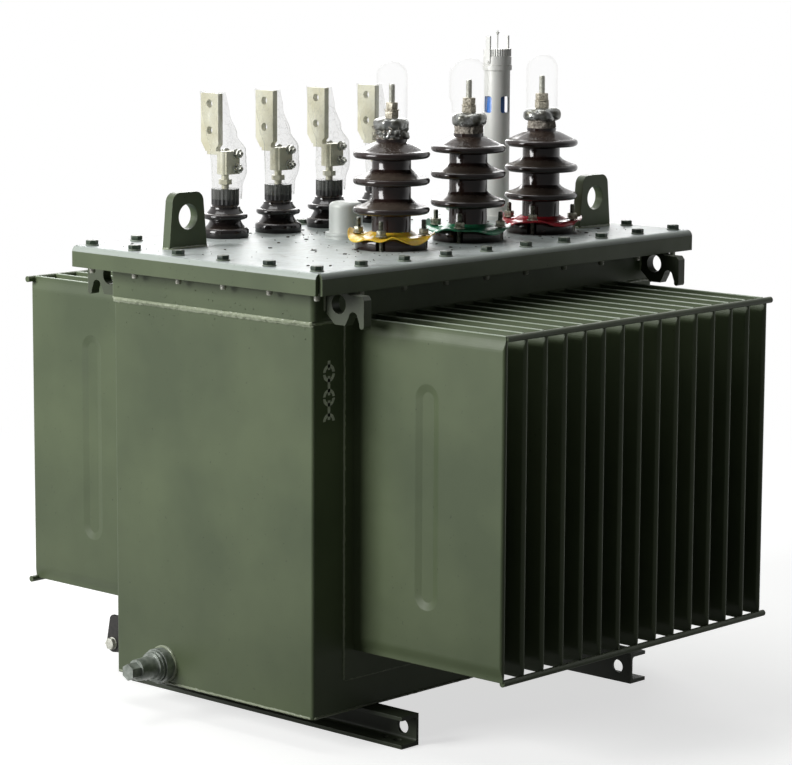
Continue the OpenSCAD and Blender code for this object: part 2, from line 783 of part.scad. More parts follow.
// Collar, ring, knurled grip, two upright strips and the needle on top of the gauge
module gauge_head() {
    ring_z = head_collar_h + head_groove;
    color(silver) translate([gauge_x, gauge_y, lid_z + gauge_h]) {
        rotate_extrude() {
            translate([0, head_groove]) square([head_r + 0.8, head_collar_h - head_groove]);
            square([head_r - 1.5, head_ring_h + 1]);
            translate([0, ring_z]) square([head_r, head_ring_h - ring_z]);
        }
        translate([0, 0, head_ring_h + 1]) linear_extrude(head_h - head_ring_h - 1)
            ribbed_disc(head_r - 0.4, knurl_ribs, 1);
        for (side = [0, 180]) rotate([0, 0, side]) translate([head_r - strip_seat, 0, 0]) gauge_strip();
        cylinder(h = needle_h, d = needle_d, $fn = 24);
        translate([0, 0, needle_h - 8]) cylinder(h = 5, d1 = needle_d, d2 = 3 * needle_d, $fn = 24);
    }
}

module drain_valve() {
    color(olive) translate([-tank_l / 2, valve_y, valve_z]) rotate([0, -90, 0]) {
        rotate_extrude($fn = 48) {
            square([boss_r, boss_l]);
            square([ring_r, ring_end]);
            translate([0, boss_l + 2]) square([ring_r + 2, 3]);
            polygon([
                [0, 0], [barrel_r + 1, ring_end], [barrel_r, ring_end + 4],
                [barrel_r - 1, barrel_end], [0, barrel_end]
            ]);
        }
        cylinder(h = valve_out, d = plug_d, $fn = 6);
    }
}

module earth_terminal() {
    lug_y0 = earth_out - earth_r;
    color(silver) translate([earth_x, tank_w / 2, earth_z]) along_x(earth_t) difference() {
        union() {
            polygon([
                [0, -12], [lug_y0, -earth_r], [earth_out, 2], [earth_out - 8, earth_h - 4],
                [earth_out - 12, earth_h], [0, earth_h]
            ]);
            translate([lug_y0, 0]) circle(earth_r);
        }
        translate([lug_y0, 0]) circle(d = earth_hole);
    }
}

tank();
frame_band();
frame_flange();
lid_gasket();
lid();
hv_wall();
hv_fins();
hv_fin_rods();
lv_wall();
lv_fins();
lv_fin_rods();
channel_left();
channel_right();
lifting_lug_left();
lifting_lug_right();
hv_side_ears();
lv_side_ears();
hv_porcelain_1();
hv_porcelain_2();
hv_porcelain_3();
hv_phase_collar_1();
hv_phase_collar_2();
hv_phase_collar_3();
hv_terminal_1();
hv_terminal_2();
hv_terminal_3();
hv_clear_cover_1();
hv_clear_cover_2();
hv_clear_cover_3();
lv_porcelain_1();
lv_porcelain_2();
lv_porcelain_3();
lv_porcelain_4();
lv_sleeves();
lv_terminal_1();
lv_terminal_2();
lv_terminal_3();
lv_terminal_4();
lv_film_bags();
filler_cap();
gauge_tube();
gauge_float();
gauge_head();
drain_valve();
earth_terminal();
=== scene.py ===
# %% [markdown]
# An oil-filled distribution transformer. A green welded tank carries two banks of cooling fins and a
# bolted lid. On the lid stand three high-voltage bushings with sheds, four low-voltage bushings with flat
# terminal palms in film bags, a filler, a level gauge and two lifting lugs.
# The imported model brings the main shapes. This lesson adds the camera, light, finishes and small parts.

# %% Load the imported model
import math
import random

import bmesh
import bpy
from mathutils import Matrix, Quaternion, Vector, noise


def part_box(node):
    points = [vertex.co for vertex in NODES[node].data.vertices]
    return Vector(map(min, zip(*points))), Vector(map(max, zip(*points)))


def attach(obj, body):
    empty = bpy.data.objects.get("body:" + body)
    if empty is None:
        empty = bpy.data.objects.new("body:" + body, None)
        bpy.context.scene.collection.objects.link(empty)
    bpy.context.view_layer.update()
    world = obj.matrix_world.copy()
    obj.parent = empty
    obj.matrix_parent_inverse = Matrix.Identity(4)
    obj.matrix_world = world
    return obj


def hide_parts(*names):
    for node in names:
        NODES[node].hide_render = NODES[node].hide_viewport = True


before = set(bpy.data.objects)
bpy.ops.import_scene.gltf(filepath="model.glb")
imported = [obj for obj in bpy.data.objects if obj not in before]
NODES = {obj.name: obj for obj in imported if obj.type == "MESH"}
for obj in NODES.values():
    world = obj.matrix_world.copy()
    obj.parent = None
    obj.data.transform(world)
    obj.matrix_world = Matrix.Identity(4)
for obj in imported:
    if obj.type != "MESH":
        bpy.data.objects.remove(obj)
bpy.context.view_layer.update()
print("packed model:", len(NODES), "nodes")

# %% [markdown]
# Steel work is drawn in millimetres, and Blender counts in metres. Every new piece is drawn in
# millimetres and scaled once, when its mesh is handed over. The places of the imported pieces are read
# in millimetres too, so that a bolt or a weld follows the tank when a size changes.

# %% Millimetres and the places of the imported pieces
MM = 0.001


def box_mm(node):
    """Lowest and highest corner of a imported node, in millimetres."""
    low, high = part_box(node)
    return low / MM, high / MM


def centre_mm(node):
    """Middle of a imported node's box, in millimetres."""
    low, high = box_mm(node)
    return (low + high) / 2


TANK_LOW, TANK_HIGH = box_mm("tank")
BAND_LOW, BAND_HIGH = box_mm("frame_band")
FLANGE_UNDERSIDE = box_mm("frame_flange")[0].z
LID_TOP = box_mm("lid")[1].z
print("lid top at", round(LID_TOP), "mm")

# %% [markdown]
# A picture taken from chest height with a long lens keeps the upright edges of a tank nearly parallel.
# The camera's place, its aim and its lens are written as real values, and the small roll is that of
# a hand-held shot. The picture is 792 by 765 pixels.

# %% Camera
CAMERA_PLACE = Vector((-3584.3, -3340.1, 1253.6)) * MM
CAMERA_YAW = math.radians(47.132)
CAMERA_PITCH = math.radians(-8.779)
CAMERA_ROLL = math.radians(0.285)
CAMERA_LENS = 138.62

camera_data = bpy.data.cameras.new("camera")
camera_data.lens = CAMERA_LENS
camera_data.sensor_width = 36
camera_data.clip_end = 200
camera = bpy.data.objects.new("camera", camera_data)
bpy.context.scene.collection.objects.link(camera)
bpy.context.scene.camera = camera
aim = Vector((
    math.sin(CAMERA_YAW) * math.cos(CAMERA_PITCH),
    math.cos(CAMERA_YAW) * math.cos(CAMERA_PITCH),
    math.sin(CAMERA_PITCH),
))
camera.rotation_mode = "QUATERNION"
camera.rotation_quaternion = aim.to_track_quat("-Z", "Y") @ Quaternion((0, 0, 1), CAMERA_ROLL)
camera.location = CAMERA_PLACE

# %% [markdown]
# Node trees get long, so short functions add what comes again and again: a grainy noise, a change of
# range, one colour laid on another, a relief. A value goes onto the socket, and a socket is joined with
# a link. Another function turns a hex colour into the linear numbers that a shader counts in.

# %% Colour and node helpers


def linear(hex_colour):
    """An sRGB hex colour as linear red, green, blue and alpha."""
    parts = [int(hex_colour[i : i + 2], 16) / 255 for i in (1, 3, 5)]
    return [p / 12.92 if p <= 0.04045 else ((p + 0.055) / 1.055) ** 2.4 for p in parts] + [1.0]


def add_node(tree, kind, inputs=None, **settings):
    """Adds a node, with its settings, and a value or a link for each named or numbered input."""
    node = tree.nodes.new(kind)
    for name, value in settings.items():
        setattr(node, name, value)
    for name, value in (inputs or {}).items():
        if isinstance(value, bpy.types.NodeSocket):
            tree.links.new(value, node.inputs[name])
        else:
            node.inputs[name].default_value = value
    return node


def grain(tree, place, width, detail, **more):
    """Noise whose grains are about `width` millimetres wide."""
    inputs = {"Vector": place, "Scale": 1 / (width * MM), "Detail": detail, **more}
    return add_node(tree, "ShaderNodeTexNoise", inputs).outputs["Fac"]


def ranged(tree, value, low, high, to_low=0.0, to_high=1.0, bend="LINEAR"):
    """Carries a value from one range over to another."""
    inputs = {"Value": value, "From Min": low, "From Max": high, "To Min": to_low, "To Max": to_high}
    return add_node(tree, "ShaderNodeMapRange", inputs, interpolation_type=bend).outputs["Result"]


def maths(tree, operation, first, second=0.5, **settings):
    """One step of arithmetic."""
    inputs = {0: first, 1: second}
    return add_node(tree, "ShaderNodeMath", inputs, operation=operation, **settings).outputs[0]


def vectors(tree, operation, first, second=(0, 0, 0)):
    """A vector sum whose answer is one number, such as a length."""
    inputs = {0: first, 1: second}
    return add_node(tree, "ShaderNodeVectorMath", inputs, operation=operation).outputs["Value"]


def height_of(tree, vector):
    """The Z part of a place or a direction."""
    return add_node(tree, "ShaderNodeSeparateXYZ", {"Vector": vector}).outputs["Z"]


def laid_on(tree, share, under, over):
    """This share of one colour over another. A colour is a hex name or a socket."""
    under, over = (linear(tone) if isinstance(tone, str) else tone for tone in (under, over))
    return add_node(tree, "ShaderNodeMix", {0: share, 6: under, 7: over}, data_type="RGBA").outputs[2]


def relief(tree, height, strength, depth, under=None):
    """A bump this many millimetres deep, on top of another one if that is given."""
    inputs = {"Height": height, "Strength": strength, "Distance": depth * MM}
    if under is not None:
        inputs["Normal"] = under
    return add_node(tree, "ShaderNodeBump", inputs).outputs["Normal"]


def soft_edges(tree, radius):
    """Directions of the surface with every edge rounded by this many millimetres."""
    return add_node(tree, "ShaderNodeBevel", {"Radius": radius * MM}, samples=4).outputs["Normal"]


# %% [markdown]
# A finish starts from what the real one is. The first helper below begins a material and sets the plain
# values of its shader, and the second joins its patterns to the shader. All patterns read Object
# coordinates, which are metres in the frame of the part.

# %% Start and end of a material


def new_finish(name, colour, roughness, metallic=0.0, **plain):
    """A material with its base colour, roughness and other plain shader values set."""
    material = bpy.data.materials.new(name)
    material.use_nodes = True
    tree = material.node_tree
    shader = tree.nodes["Principled BSDF"]
    shader.inputs["Base Color"].default_value = linear(colour)
    shader.inputs["Roughness"].default_value = roughness
    shader.inputs["Metallic"].default_value = metallic
    for socket, value in plain.items():
        shader.inputs[socket.replace("_", " ")].default_value = value
    place = add_node(tree, "ShaderNodeTexCoord").outputs["Object"]
    return material, tree, shader, place


def join_up(tree, shader, **patterns):
    """Joins a socket to each named input of the shader."""
    for socket, pattern in patterns.items():
        tree.links.new(pattern, shader.inputs[socket.replace("_", " ")])


# %% [markdown]
# A soft studio light comes from three large lamps: one beyond the drain-valve end, one above and one
# behind. The side that faces the fins stays dim, as it does when a tall object shades itself. A lamp's
# power is worked out from its distance, so that a matt surface that faces it shows its written colour.

# %% Lamps
LAMP_TARGET = Vector((0, 0, 0.45))


def soft_lamp(name, place, size, level):
    """A square area lamp, aimed at the middle of the tank. Level 1 lights a facing colour as written."""
    reach = Vector(place) - LAMP_TARGET
    lamp_data = bpy.data.lights.new(name, "AREA")
    lamp_data.size = size
    lamp_data.energy = level * math.pi**2 * reach.length_squared
    lamp = bpy.data.objects.new(name, lamp_data)
    bpy.context.scene.collection.objects.link(lamp)
    lamp.location = place
    lamp.rotation_mode = "QUATERNION"
    lamp.rotation_quaternion = reach.to_track_quat("Z", "Y")


soft_lamp("end_lamp", (-4.4, 1.7, 2.2), 2.2, 0.88)
soft_lamp("top_lamp", (-0.4, 1.2, 4.6), 2.6, 0.42)
soft_lamp("back_lamp", (3.4, 3.6, 2.6), 2.6, 0.40)

# %% [markdown]
# The world is white where it is seen, and dim where it lights matt surfaces. That keeps the shaded
# side dark against a clean background. Mirrors see white behind and above the object, and a dark room
# in front of its shaded side. The floor does the same. Near the tank it still takes light and shadow,
# and further out it goes over into plain white, so that no horizon shows.
# The Standard view shows each colour as it is written.

# %% World and floor
bpy.context.scene.view_settings.view_transform = "Standard"
WORLD_GLOW = 0.05
DARK_ROOM = Vector((-0.45, -0.88, -0.1)).normalized()
ROOM_GLOW = 0.2
MIRRORED_SKY = 0.85

world = bpy.data.worlds.new("studio")
world.use_nodes = True
bpy.context.scene.world = world


def level_seen(tree, direction):
    """How bright the surroundings are in a direction, for the ray that asks."""
    path = add_node(tree, "ShaderNodeLightPath").outputs
    unit = add_node(tree, "ShaderNodeVectorMath", {0: direction}, operation="NORMALIZE")
    front = vectors(tree, "DOT_PRODUCT", unit.outputs["Vector"], DARK_ROOM)
    mirrored = ranged(tree, front, -0.1, 0.7, MIRRORED_SKY, ROOM_GLOW, bend="SMOOTHSTEP")
    gathered = ranged(tree, path["Is Glossy Ray"], 0, 1, WORLD_GLOW, mirrored)
    clear = maths(tree, "MAXIMUM", path["Is Camera Ray"], path["Is Transmission Ray"])
    return ranged(tree, clear, 0, 1, gathered, 1.0)


sky = world.node_tree
background = sky.nodes["Background"]
background.inputs["Color"].default_value = (1, 1, 1, 1)
looking = add_node(sky, "ShaderNodeTexCoord").outputs["Generated"]
sky.links.new(level_seen(sky, looking), background.inputs["Strength"])

SHADOW_REACH = (0.9, 2.6)
NEAR_GLOW = 0.66
FLOOR_TONE = "#c4c5c3"
UNSEEN_FLOOR_TONE = "#454643"

floor_paint, tree, shader, place = new_finish("floor_paint", FLOOR_TONE, 0.9, Specular_IOR_Level=0.0,
                                              Emission_Color=(1, 1, 1, 1))
far = ranged(tree, vectors(tree, "LENGTH", place), *SHADOW_REACH, bend="SMOOTHSTEP")
level = level_seen(tree, place)
glow = maths(tree, "MULTIPLY", ranged(tree, far, 0, 1, NEAR_GLOW, 1.0), level)
tone = laid_on(tree, far, FLOOR_TONE, "#000000")
tone = laid_on(tree, level, UNSEEN_FLOOR_TONE, tone)
join_up(tree, shader, Base_Color=tone, Emission_Strength=glow)

floor_mesh = bmesh.new()
bmesh.ops.create_circle(floor_mesh, cap_ends=True, segments=96, radius=40)
floor_data = bpy.data.meshes.new("floor")
floor_mesh.to_mesh(floor_data)
floor_mesh.free()
floor = bpy.data.objects.new("floor", floor_data)
bpy.context.scene.collection.objects.link(floor)
floor.location.z = -0.0005
floor_data.materials.append(floor_paint)

# %% [markdown]
# The tank is sprayed with alkyd enamel, an olive green air-drying paint. It gives a satin sheen, a fine
# orange peel, soft clouds where coats overlap and slow waves in the thin sheet under it. Dust settles
# on what faces up. Edges catch the light because no real edge is sharp: the Bevel node rounds the
# shading of every edge, and where its direction leaves the true one there is an edge, worn pale.

# %% Olive enamel
# pale tone painted along the lid's rounded bend from top to side: a painted highlight
BEND_PAINTED_HIGHLIGHT = "#c6cfc9"
BEND_SLOPE = 0.56
DRY_SMEAR = "#4a4d46"
# darker towards the ground between these heights: painted shade, with some ground dirt
GROUND_DIRT_AND_PAINTED_SHADE = "#38402a"
DIRT_AND_SHADE_HEIGHTS = (80 * MM, 420 * MM)
CHIP = "#24271f"
# pale tone in every face within SEAM_DEPTH under the top of the fins: a painted highlight along the seam
SEAM_PAINTED_HIGHLIGHT = "#b7c4b0"
SEAM_DEPTH = 1.2


def olive_enamel(name, deep="#4e5a40", light="#5d694c", dust=0.25, wear=0.35, worn_tone="#a9b095",
                 dust_and_painted_light_tone="#a8aca0", dust_from=0.55, gloss=0.42, chips=0.5, seam_top=None, litter=0.0,
                 bare_dust=0.3, **plain):
    """Sprayed olive paint. Dust is how pale its upward faces are, wear how pale its edges are.

    seam_top is a height in mm: every face within SEAM_DEPTH under it gets a pale painted highlight. Litter is
    how dark the dry crumbs and smears are that lie on upward faces, bare_dust the least cover of dust between
    them. Where litter is given, the bend from top to side gets a pale painted highlight too."""
    material, tree, shader, place = new_finish(name, light, gloss, Specular_IOR_Level=0.4, **plain)
    clouds = grain(tree, place, 180, 3)
    grime = grain(tree, place, 14, 5)
    height = height_of(tree, place)
    facing = add_node(tree, "ShaderNodeNewGeometry").outputs["True Normal"]
    slope = height_of(tree, facing)
    upward = ranged(tree, slope, dust_from, 0.95, 0, dust)
    rounded = soft_edges(tree, 1.6)
    edge = ranged(tree, vectors(tree, "DOT_PRODUCT", rounded, facing), 0.985, 0.86, 0, wear)

    tone = laid_on(tree, ranged(tree, clouds, 0.35, 0.65), deep, light)
    tone = laid_on(tree, maths(tree, "MULTIPLY", edge, grime), tone, worn_tone)
    cover = ranged(tree, grime, 0.25, 0.62, bare_dust, 1)
    tone = laid_on(tree, maths(tree, "MULTIPLY", upward, cover), tone, dust_and_painted_light_tone)
    if litter:
        # painted highlight: the bend from top to side is laid over with a pale tone
        off_bend = maths(tree, "ABSOLUTE", maths(tree, "SUBTRACT", slope, BEND_SLOPE))
        tone = laid_on(tree, ranged(tree, off_bend, 0.42, 0.36, 0, 0.7), tone, BEND_PAINTED_HIGHLIGHT)
        smear = grain(tree, place, 34, 8, Roughness=0.72, Distortion=0.8)
        lying = maths(tree, "MULTIPLY", ranged(tree, smear, 0.56, 0.72, 0, litter), upward)
        tone = laid_on(tree, lying, tone, DRY_SMEAR)
    # painted shade with some ground dirt: the paint darkens towards the ground
    dirt_and_shade = ranged(tree, height, *DIRT_AND_SHADE_HEIGHTS, 0.34, 0, bend="SMOOTHSTEP")
    tone = laid_on(tree, dirt_and_shade, tone, GROUND_DIRT_AND_PAINTED_SHADE)
    specks = ranged(tree, grain(tree, place, 5, 2), 0.72, 0.76, 0, chips)
    tone = laid_on(tree, specks, tone, CHIP)
    # painted highlight: a pale tone along the top of the seam
    if seam_top is not None:
        at_seam = maths(tree, "GREATER_THAN", height, (seam_top - SEAM_DEPTH) * MM)
        tone = laid_on(tree, maths(tree, "MULTIPLY", at_seam, 0.85), tone, SEAM_PAINTED_HIGHLIGHT)

    sheen = ranged(tree, grime, 0, 1, gloss - 0.08, gloss + 0.14)
    waves = relief(tree, clouds, 0.25, 4, rounded)
    peel = relief(tree, grain(tree, place, 3.5, 2), 0.35, 0.15, waves)
    join_up(tree, shader, Base_Color=tone, Roughness=sheen, Normal=peel)
    return material


ENAMEL = olive_enamel("olive_enamel")
# the lid's pale bluish dust tone is dust with a painted reflection of the sky in it
LID_ENAMEL = olive_enamel("dusty_lid_enamel_with_painted_reflection", dust=0.9, wear=0.55, dust_and_painted_light_tone="#b7c1c0", gloss=0.4, chips=0.9,
                          dust_from=0.8, litter=0.85, bare_dust=0.6, Sheen_Weight=0.35, Sheen_Roughness=0.25)
HARDWARE_ENAMEL = olive_enamel("painted_hardware_enamel", "#26332a", "#3c4b3c", dust=0.45, wear=0.9)
WASHER_ENAMEL = olive_enamel("dusty_washer_enamel", "#5c6a5c", "#88948a", dust=0.8, wear=1.0)
# the weld beads are paler than the tank's enamel: a painted highlight, with dust on top
WELD_ENAMEL = olive_enamel("weld_enamel_with_painted_highlight", "#7d876c", "#a9b396", dust=0.9, wear=0.9,
                           worn_tone="#d5dcc2", dust_and_painted_light_tone="#cdd3c2", gloss=0.2)
FIN_ENAMEL = olive_enamel("fin_enamel", seam_top=box_mm("hv_fins")[1].z)
# the foot channels are made dark: painted shade under the tank
CHANNEL_ENAMEL = olive_enamel("channel_enamel_with_painted_shade", "#1d211a", "#2b3027", dust=0.2, wear=0.5,
                              worn_tone="#7c847a", dust_and_painted_light_tone="#484c45")
EAR_ENAMEL = olive_enamel("shaded_ear_enamel", "#3a4032", "#4c5442", dust=0.4, wear=0.7)

# %% [markdown]
# The bushings are stoneware porcelain under a dark brown glaze, dipped and fired. The glaze is glass:
# a low roughness and a clear coat give its hard highlights, and slow waves in it break them up.
# Road dust lies on the upward slopes of the lower sheds and hides the gloss there. Rain keeps the top
# shed clean, so dust fades out above a given height.

# %% Brown glaze
DUST_FADES = ((LID_TOP + 128) * MM, (LID_TOP + 146) * MM)
ROAD_DUST = "#75695d"


def brown_glaze(name, deep, light, road_dust):
    """Glaze in blotches of two tones, with this much dust on its gentle slopes."""
    material, tree, shader, place = new_finish(name, light, 0.12, Specular_IOR_Level=0.4, Coat_Weight=0.4,
                                               Coat_Roughness=0.08)
    clouds = grain(tree, place, 26, 3)
    grime = grain(tree, place, 6, 6, Roughness=0.7)
    facing = add_node(tree, "ShaderNodeNewGeometry").outputs["True Normal"]
    upward = ranged(tree, height_of(tree, facing), 0.72, 0.93, 0, road_dust)
    low_down = ranged(tree, height_of(tree, place), *DUST_FADES, 1, 0.35)
    dust = maths(tree, "MULTIPLY", upward, ranged(tree, grime, 0.25, 0.7, 0.2, 1))
    dust = maths(tree, "MULTIPLY", dust, low_down)
    tone = laid_on(tree, dust, laid_on(tree, clouds, deep, light), ROAD_DUST)
    gloss = ranged(tree, dust, 0, 1, 0.14, 0.7)
    bump = relief(tree, grime, 0.2, 0.3, relief(tree, clouds, 0.6, 1.6))
    join_up(tree, shader, Base_Color=tone, Roughness=gloss, Normal=bump)
    return material


GLAZE = brown_glaze("brown_porcelain_glaze", "#1a110e", "#33231f", road_dust=0.9)
DARK_GLAZE = brown_glaze("black_brown_porcelain_glaze", "#0e0b0b", "#211a19", road_dust=0.5)

# %% [markdown]
# Phase collars are cut from soft PVC sheet: a strong plain colour, a wax-like gloss, grime in patches.
# Light goes through the thin sheet a little, so the shader scatters it under the surface.
# The float in the gauge is moulded from the same kind of plastic.

# %% Coloured plastic sheet


def coloured_sheet(name, colour, shade, scatter=0.25):
    """Soft plastic of one colour, with grime of a darker shade."""
    material, tree, shader, place = new_finish(name, colour, 0.28, Specular_IOR_Level=0.5,
                                               Subsurface_Weight=scatter, Subsurface_Scale=3 * MM)
    grime = grain(tree, place, 18, 5)
    tone = laid_on(tree, ranged(tree, grime, 0.48, 0.72, 0, 0.65), colour, shade)
    gloss = ranged(tree, grime, 0, 1, 0.16, 0.45)
    join_up(tree, shader, Base_Color=tone, Roughness=gloss, Normal=relief(tree, grime, 0.3, 0.8))
    return material


YELLOW_SHEET = coloured_sheet("yellow_pvc_sheet", "#f6cb3c", "#c79a34")
GREEN_SHEET = coloured_sheet("green_pvc_sheet", "#37946a", "#1f573f")
RED_SHEET = coloured_sheet("red_pvc_sheet", "#c22a38", "#74202a")
BLUE_FLOAT = coloured_sheet("blue_float_plastic", "#4b86dc", "#3566ae", scatter=0.0)

# %% [markdown]
# The metals differ mostly in colour and in how they were made. Plated palms are cream and nearly plain.
# The filler and gauge are lacquered in aluminium paint. Studs are rolled steel with zinc. One function
# makes them all: a metal, a tone that varies in patches, and a bump as coarse as the surface.

# %% Metals


def bare_metal(name, bright, dull, roughness, width, depth, metallic=1.0):
    """Metal of a bright and a dull tone. Width and depth are those of its unevenness, in mm."""
    material, tree, shader, place = new_finish(name, bright, roughness, metallic)
    uneven = grain(tree, place, width, 4)
    tone = laid_on(tree, ranged(tree, uneven, 0.38, 0.66), bright, dull)
    gloss = ranged(tree, uneven, 0, 1, roughness * 0.7, roughness * 1.4)
    bump = relief(tree, uneven, 0.6, depth, soft_edges(tree, 0.6))
    join_up(tree, shader, Base_Color=tone, Roughness=gloss, Normal=bump)
    return material


PALM_PLATE = bare_metal("tin_plated_copper", "#dddbc6", "#cbc7ac", 0.42, 30, 0.1, metallic=0.2)
ALUMINIUM_PAINT = bare_metal("aluminium_lacquer", "#d3d6d3", "#c0c4bf", 0.42, 60, 0.1, metallic=0.2)
GAUGE_TUBE = bare_metal("satin_aluminium_tube", "#f2f2ee", "#e2e3de", 0.45, 80, 0.1, metallic=0.15)
DULL_ZINC = bare_metal("dull_zinc_nuts", "#b3b3a2", "#6e6d5f", 0.42, 4, 0.4, metallic=0.6)
ZINC = bare_metal("zinc_plated_steel", "#d9dad0", "#b3b2a5", 0.4, 4, 0.1, metallic=0.45)
NICKEL = bare_metal("nickel_plated_bolts", "#c9cac2", "#77776d", 0.25, 5, 0.1)
DULL_STUD = bare_metal("dull_steel_studs", "#6f7166", "#34352d", 0.4, 4, 0.2, metallic=0.8)
CAP_METAL = bare_metal("crumpled_lead_cap", "#a1a3a1", "#5c5b51", 0.27, 12, 0.7, metallic=0.75)
BRASS = bare_metal("grimy_brass", "#ddd6c4", "#7f7866", 0.5, 2.5, 0.8, metallic=0.4)
VALVE_METAL = bare_metal("painted_bronze", "#a3a9a2", "#767d75", 0.34, 12, 0.2, metallic=0.35)
# the earth plate is made near black
EARTH_PLATE = bare_metal("near_black_earth_plate", "#211f1c", "#12110f", 0.6, 9, 0.3, metallic=0.0)

# %% [markdown]
# Sealing sleeves and gaskets are nitrile rubber, moulded, dark and dull. The neck under each metal cap
# is cement, poured round the stud and left rough. The sling mark is plain white stencil paint.
# All are matt: a tone in patches, and a bump as coarse as the grain.

# %% Rubber, cement and stencil paint


def matt_finish(name, bright, dull, roughness, width, depth):
    """A matt surface of two tones. Width and depth are those of its grain, in mm."""
    material, tree, shader, place = new_finish(name, bright, roughness)
    uneven = grain(tree, place, width, 5, Roughness=0.65)
    tone = laid_on(tree, ranged(tree, uneven, 0.35, 0.65), bright, dull)
    join_up(tree, shader, Base_Color=tone, Normal=relief(tree, uneven, 0.6, depth))
    return material


RUBBER = matt_finish("nitrile_rubber", "#2f2e2e", "#191918", 0.5, 9, 0.4)
NECK_CEMENT = matt_finish("rough_cement", "#cfc8bb", "#5d554c", 0.85, 4, 1.4)
DRY_LITTER = matt_finish("dry_litter", "#5a5347", "#2b2722", 0.9, 3, 0.3)
STENCIL_PAINT = matt_finish("stencil_paint", "#eef1e6", "#d5dac9", 0.6, 8, 0.1)

# %% [markdown]
# The covers over the studs are blown from clear polycarbonate, and the bags are polythene film. Seen
# straight on both nearly vanish, and at a glancing angle their wall looks thicker and paler. So the
# alpha rises with the facing of Layer Weight, and the film's creases add to it as faint streaks.

# %% Clear plastics


def clear_finish(name, colour, roughness, clear, edge, crease_width, crease):
    """A see-through plastic: alpha straight on and at the edge, and how much its creases add."""
    material, tree, shader, place = new_finish(name, colour, roughness, Specular_IOR_Level=0.6)
    off_middle = maths(tree, "SUBTRACT", grain(tree, place, crease_width, 2), 0.5)
    fold = maths(tree, "ABSOLUTE", off_middle)
    streak = ranged(tree, fold, 0, 0.03, crease, 0)
    rim = add_node(tree, "ShaderNodeLayerWeight", {"Blend": 0.35}).outputs["Facing"]
    wall = ranged(tree, maths(tree, "POWER", rim, 3.0), 0, 1, clear, edge)
    alpha = maths(tree, "ADD", wall, streak, use_clamp=True)
    join_up(tree, shader, Alpha=alpha, Normal=relief(tree, fold, 0.6, 2))
    return material


CLEAR_COVER = clear_finish("clear_polycarbonate", "#f1f2e6", 0.06, 0.01, 0.26, 60, 0.0)
FILM = clear_finish("polythene_film", "#dcdfd6", 0.2, 0.10, 0.5, 20, 0.10)

# %% [markdown]
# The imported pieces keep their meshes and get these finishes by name. Cells below draw some of them anew.

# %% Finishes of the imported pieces
# the first start of a name that fits gives the finish, and the rest is enamel
FINISHES = {
    "lid_gasket": RUBBER,
    "lid": LID_ENAMEL,
    "lv_sleeves": RUBBER,
    "hv_fins": FIN_ENAMEL,
    "lv_fins": FIN_ENAMEL,
    "channel_": CHANNEL_ENAMEL,
    "hv_side_ears": EAR_ENAMEL,
    "lv_side_ears": EAR_ENAMEL,
    "filler_cap": ALUMINIUM_PAINT,
    "gauge_float": BLUE_FLOAT,
    "gauge_": GAUGE_TUBE,
    "drain_valve": VALVE_METAL,
    "earth_terminal": EARTH_PLATE,
    "lv_film_bags": FILM,
    "hv_porcelain": GLAZE,
    "lv_porcelain": GLAZE,
    "hv_clear_cover": CLEAR_COVER,
    "hv_terminal": CAP_METAL,
    "lv_terminal": PALM_PLATE,
    "hv_phase_collar_1": YELLOW_SHEET,
    "hv_phase_collar_2": GREEN_SHEET,
    "hv_phase_collar_3": RED_SHEET,
}
for name, node in NODES.items():
    fitting = [finish for start, finish in FINISHES.items() if name.startswith(start)]
    node.data.materials.clear()
    node.data.materials.append(fitting[0] if fitting else ENAMEL)
print("finishes given to", len(NODES), "packed pieces")

# %% [markdown]
# The small parts come next: bolts, studs, welds, the soft collars, the crumpled caps and the film bags.
# Each is drawn as a bmesh. One helper closes the drawing and hands it over: normals point out, the
# millimetres become metres, curved faces shade smoothly and real corners stay sharp.

# %% Hand over a piece


def finish_piece(name, mesh, finish, sharp=38):
    """Makes a drawn mesh a piece that rides on the tank. Corners over `sharp` degrees stay sharp."""
    bmesh.ops.recalc_face_normals(mesh, faces=mesh.faces)
    bmesh.ops.scale(mesh, vec=(MM, MM, MM), verts=mesh.verts)
    data = bpy.data.meshes.new(name)
    mesh.to_mesh(data)
    mesh.free()
    data.materials.append(finish)
    data.shade_smooth()
    data.set_sharp_from_angle(angle=math.radians(sharp))
    piece = bpy.data.objects.new(name, data)
    bpy.context.scene.collection.objects.link(piece)
    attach(piece, "root")
    print(name, "has", len(data.polygons), "faces")
    return piece


def add_copies(mesh, shape, places):
    """Copies a small drawn shape into a piece's mesh, once for each place."""
    plain = bpy.data.meshes.new("plain_shape")
    shape.to_mesh(plain)
    shape.free()
    for place in places:
        copy = plain.copy()
        copy.transform(place)
        mesh.from_mesh(copy)
        bpy.data.meshes.remove(copy)
    bpy.data.meshes.remove(plain)


def copied_piece(name, shape, places, finish):
    """A piece that is made of copies of one drawn shape."""
    mesh = bmesh.new()
    add_copies(mesh, shape, places)
    return finish_piece(name, mesh, finish)


def spun(turn):
    """A turn round the Z axis."""
    return Matrix.Rotation(turn, 4, "Z")


def stand_on_lid(mesh, axis, lift=0.0):
    """Moves a shape that was drawn round the origin to an axis on the lid."""
    bmesh.ops.translate(mesh, vec=(axis.x, axis.y, LID_TOP + lift), verts=mesh.verts)


ALONG_Y = Matrix.Rotation(math.pi / 2, 4, "X")


# %% [markdown]
# Most small parts are turned or six-sided. A turned part is an outline spun round the Z axis, and its
# seam and poles are merged. A nut is a cone with six sides whose rims are bevelled, as forging and
# the spanner leave them.

# %% Turned and six-sided shapes


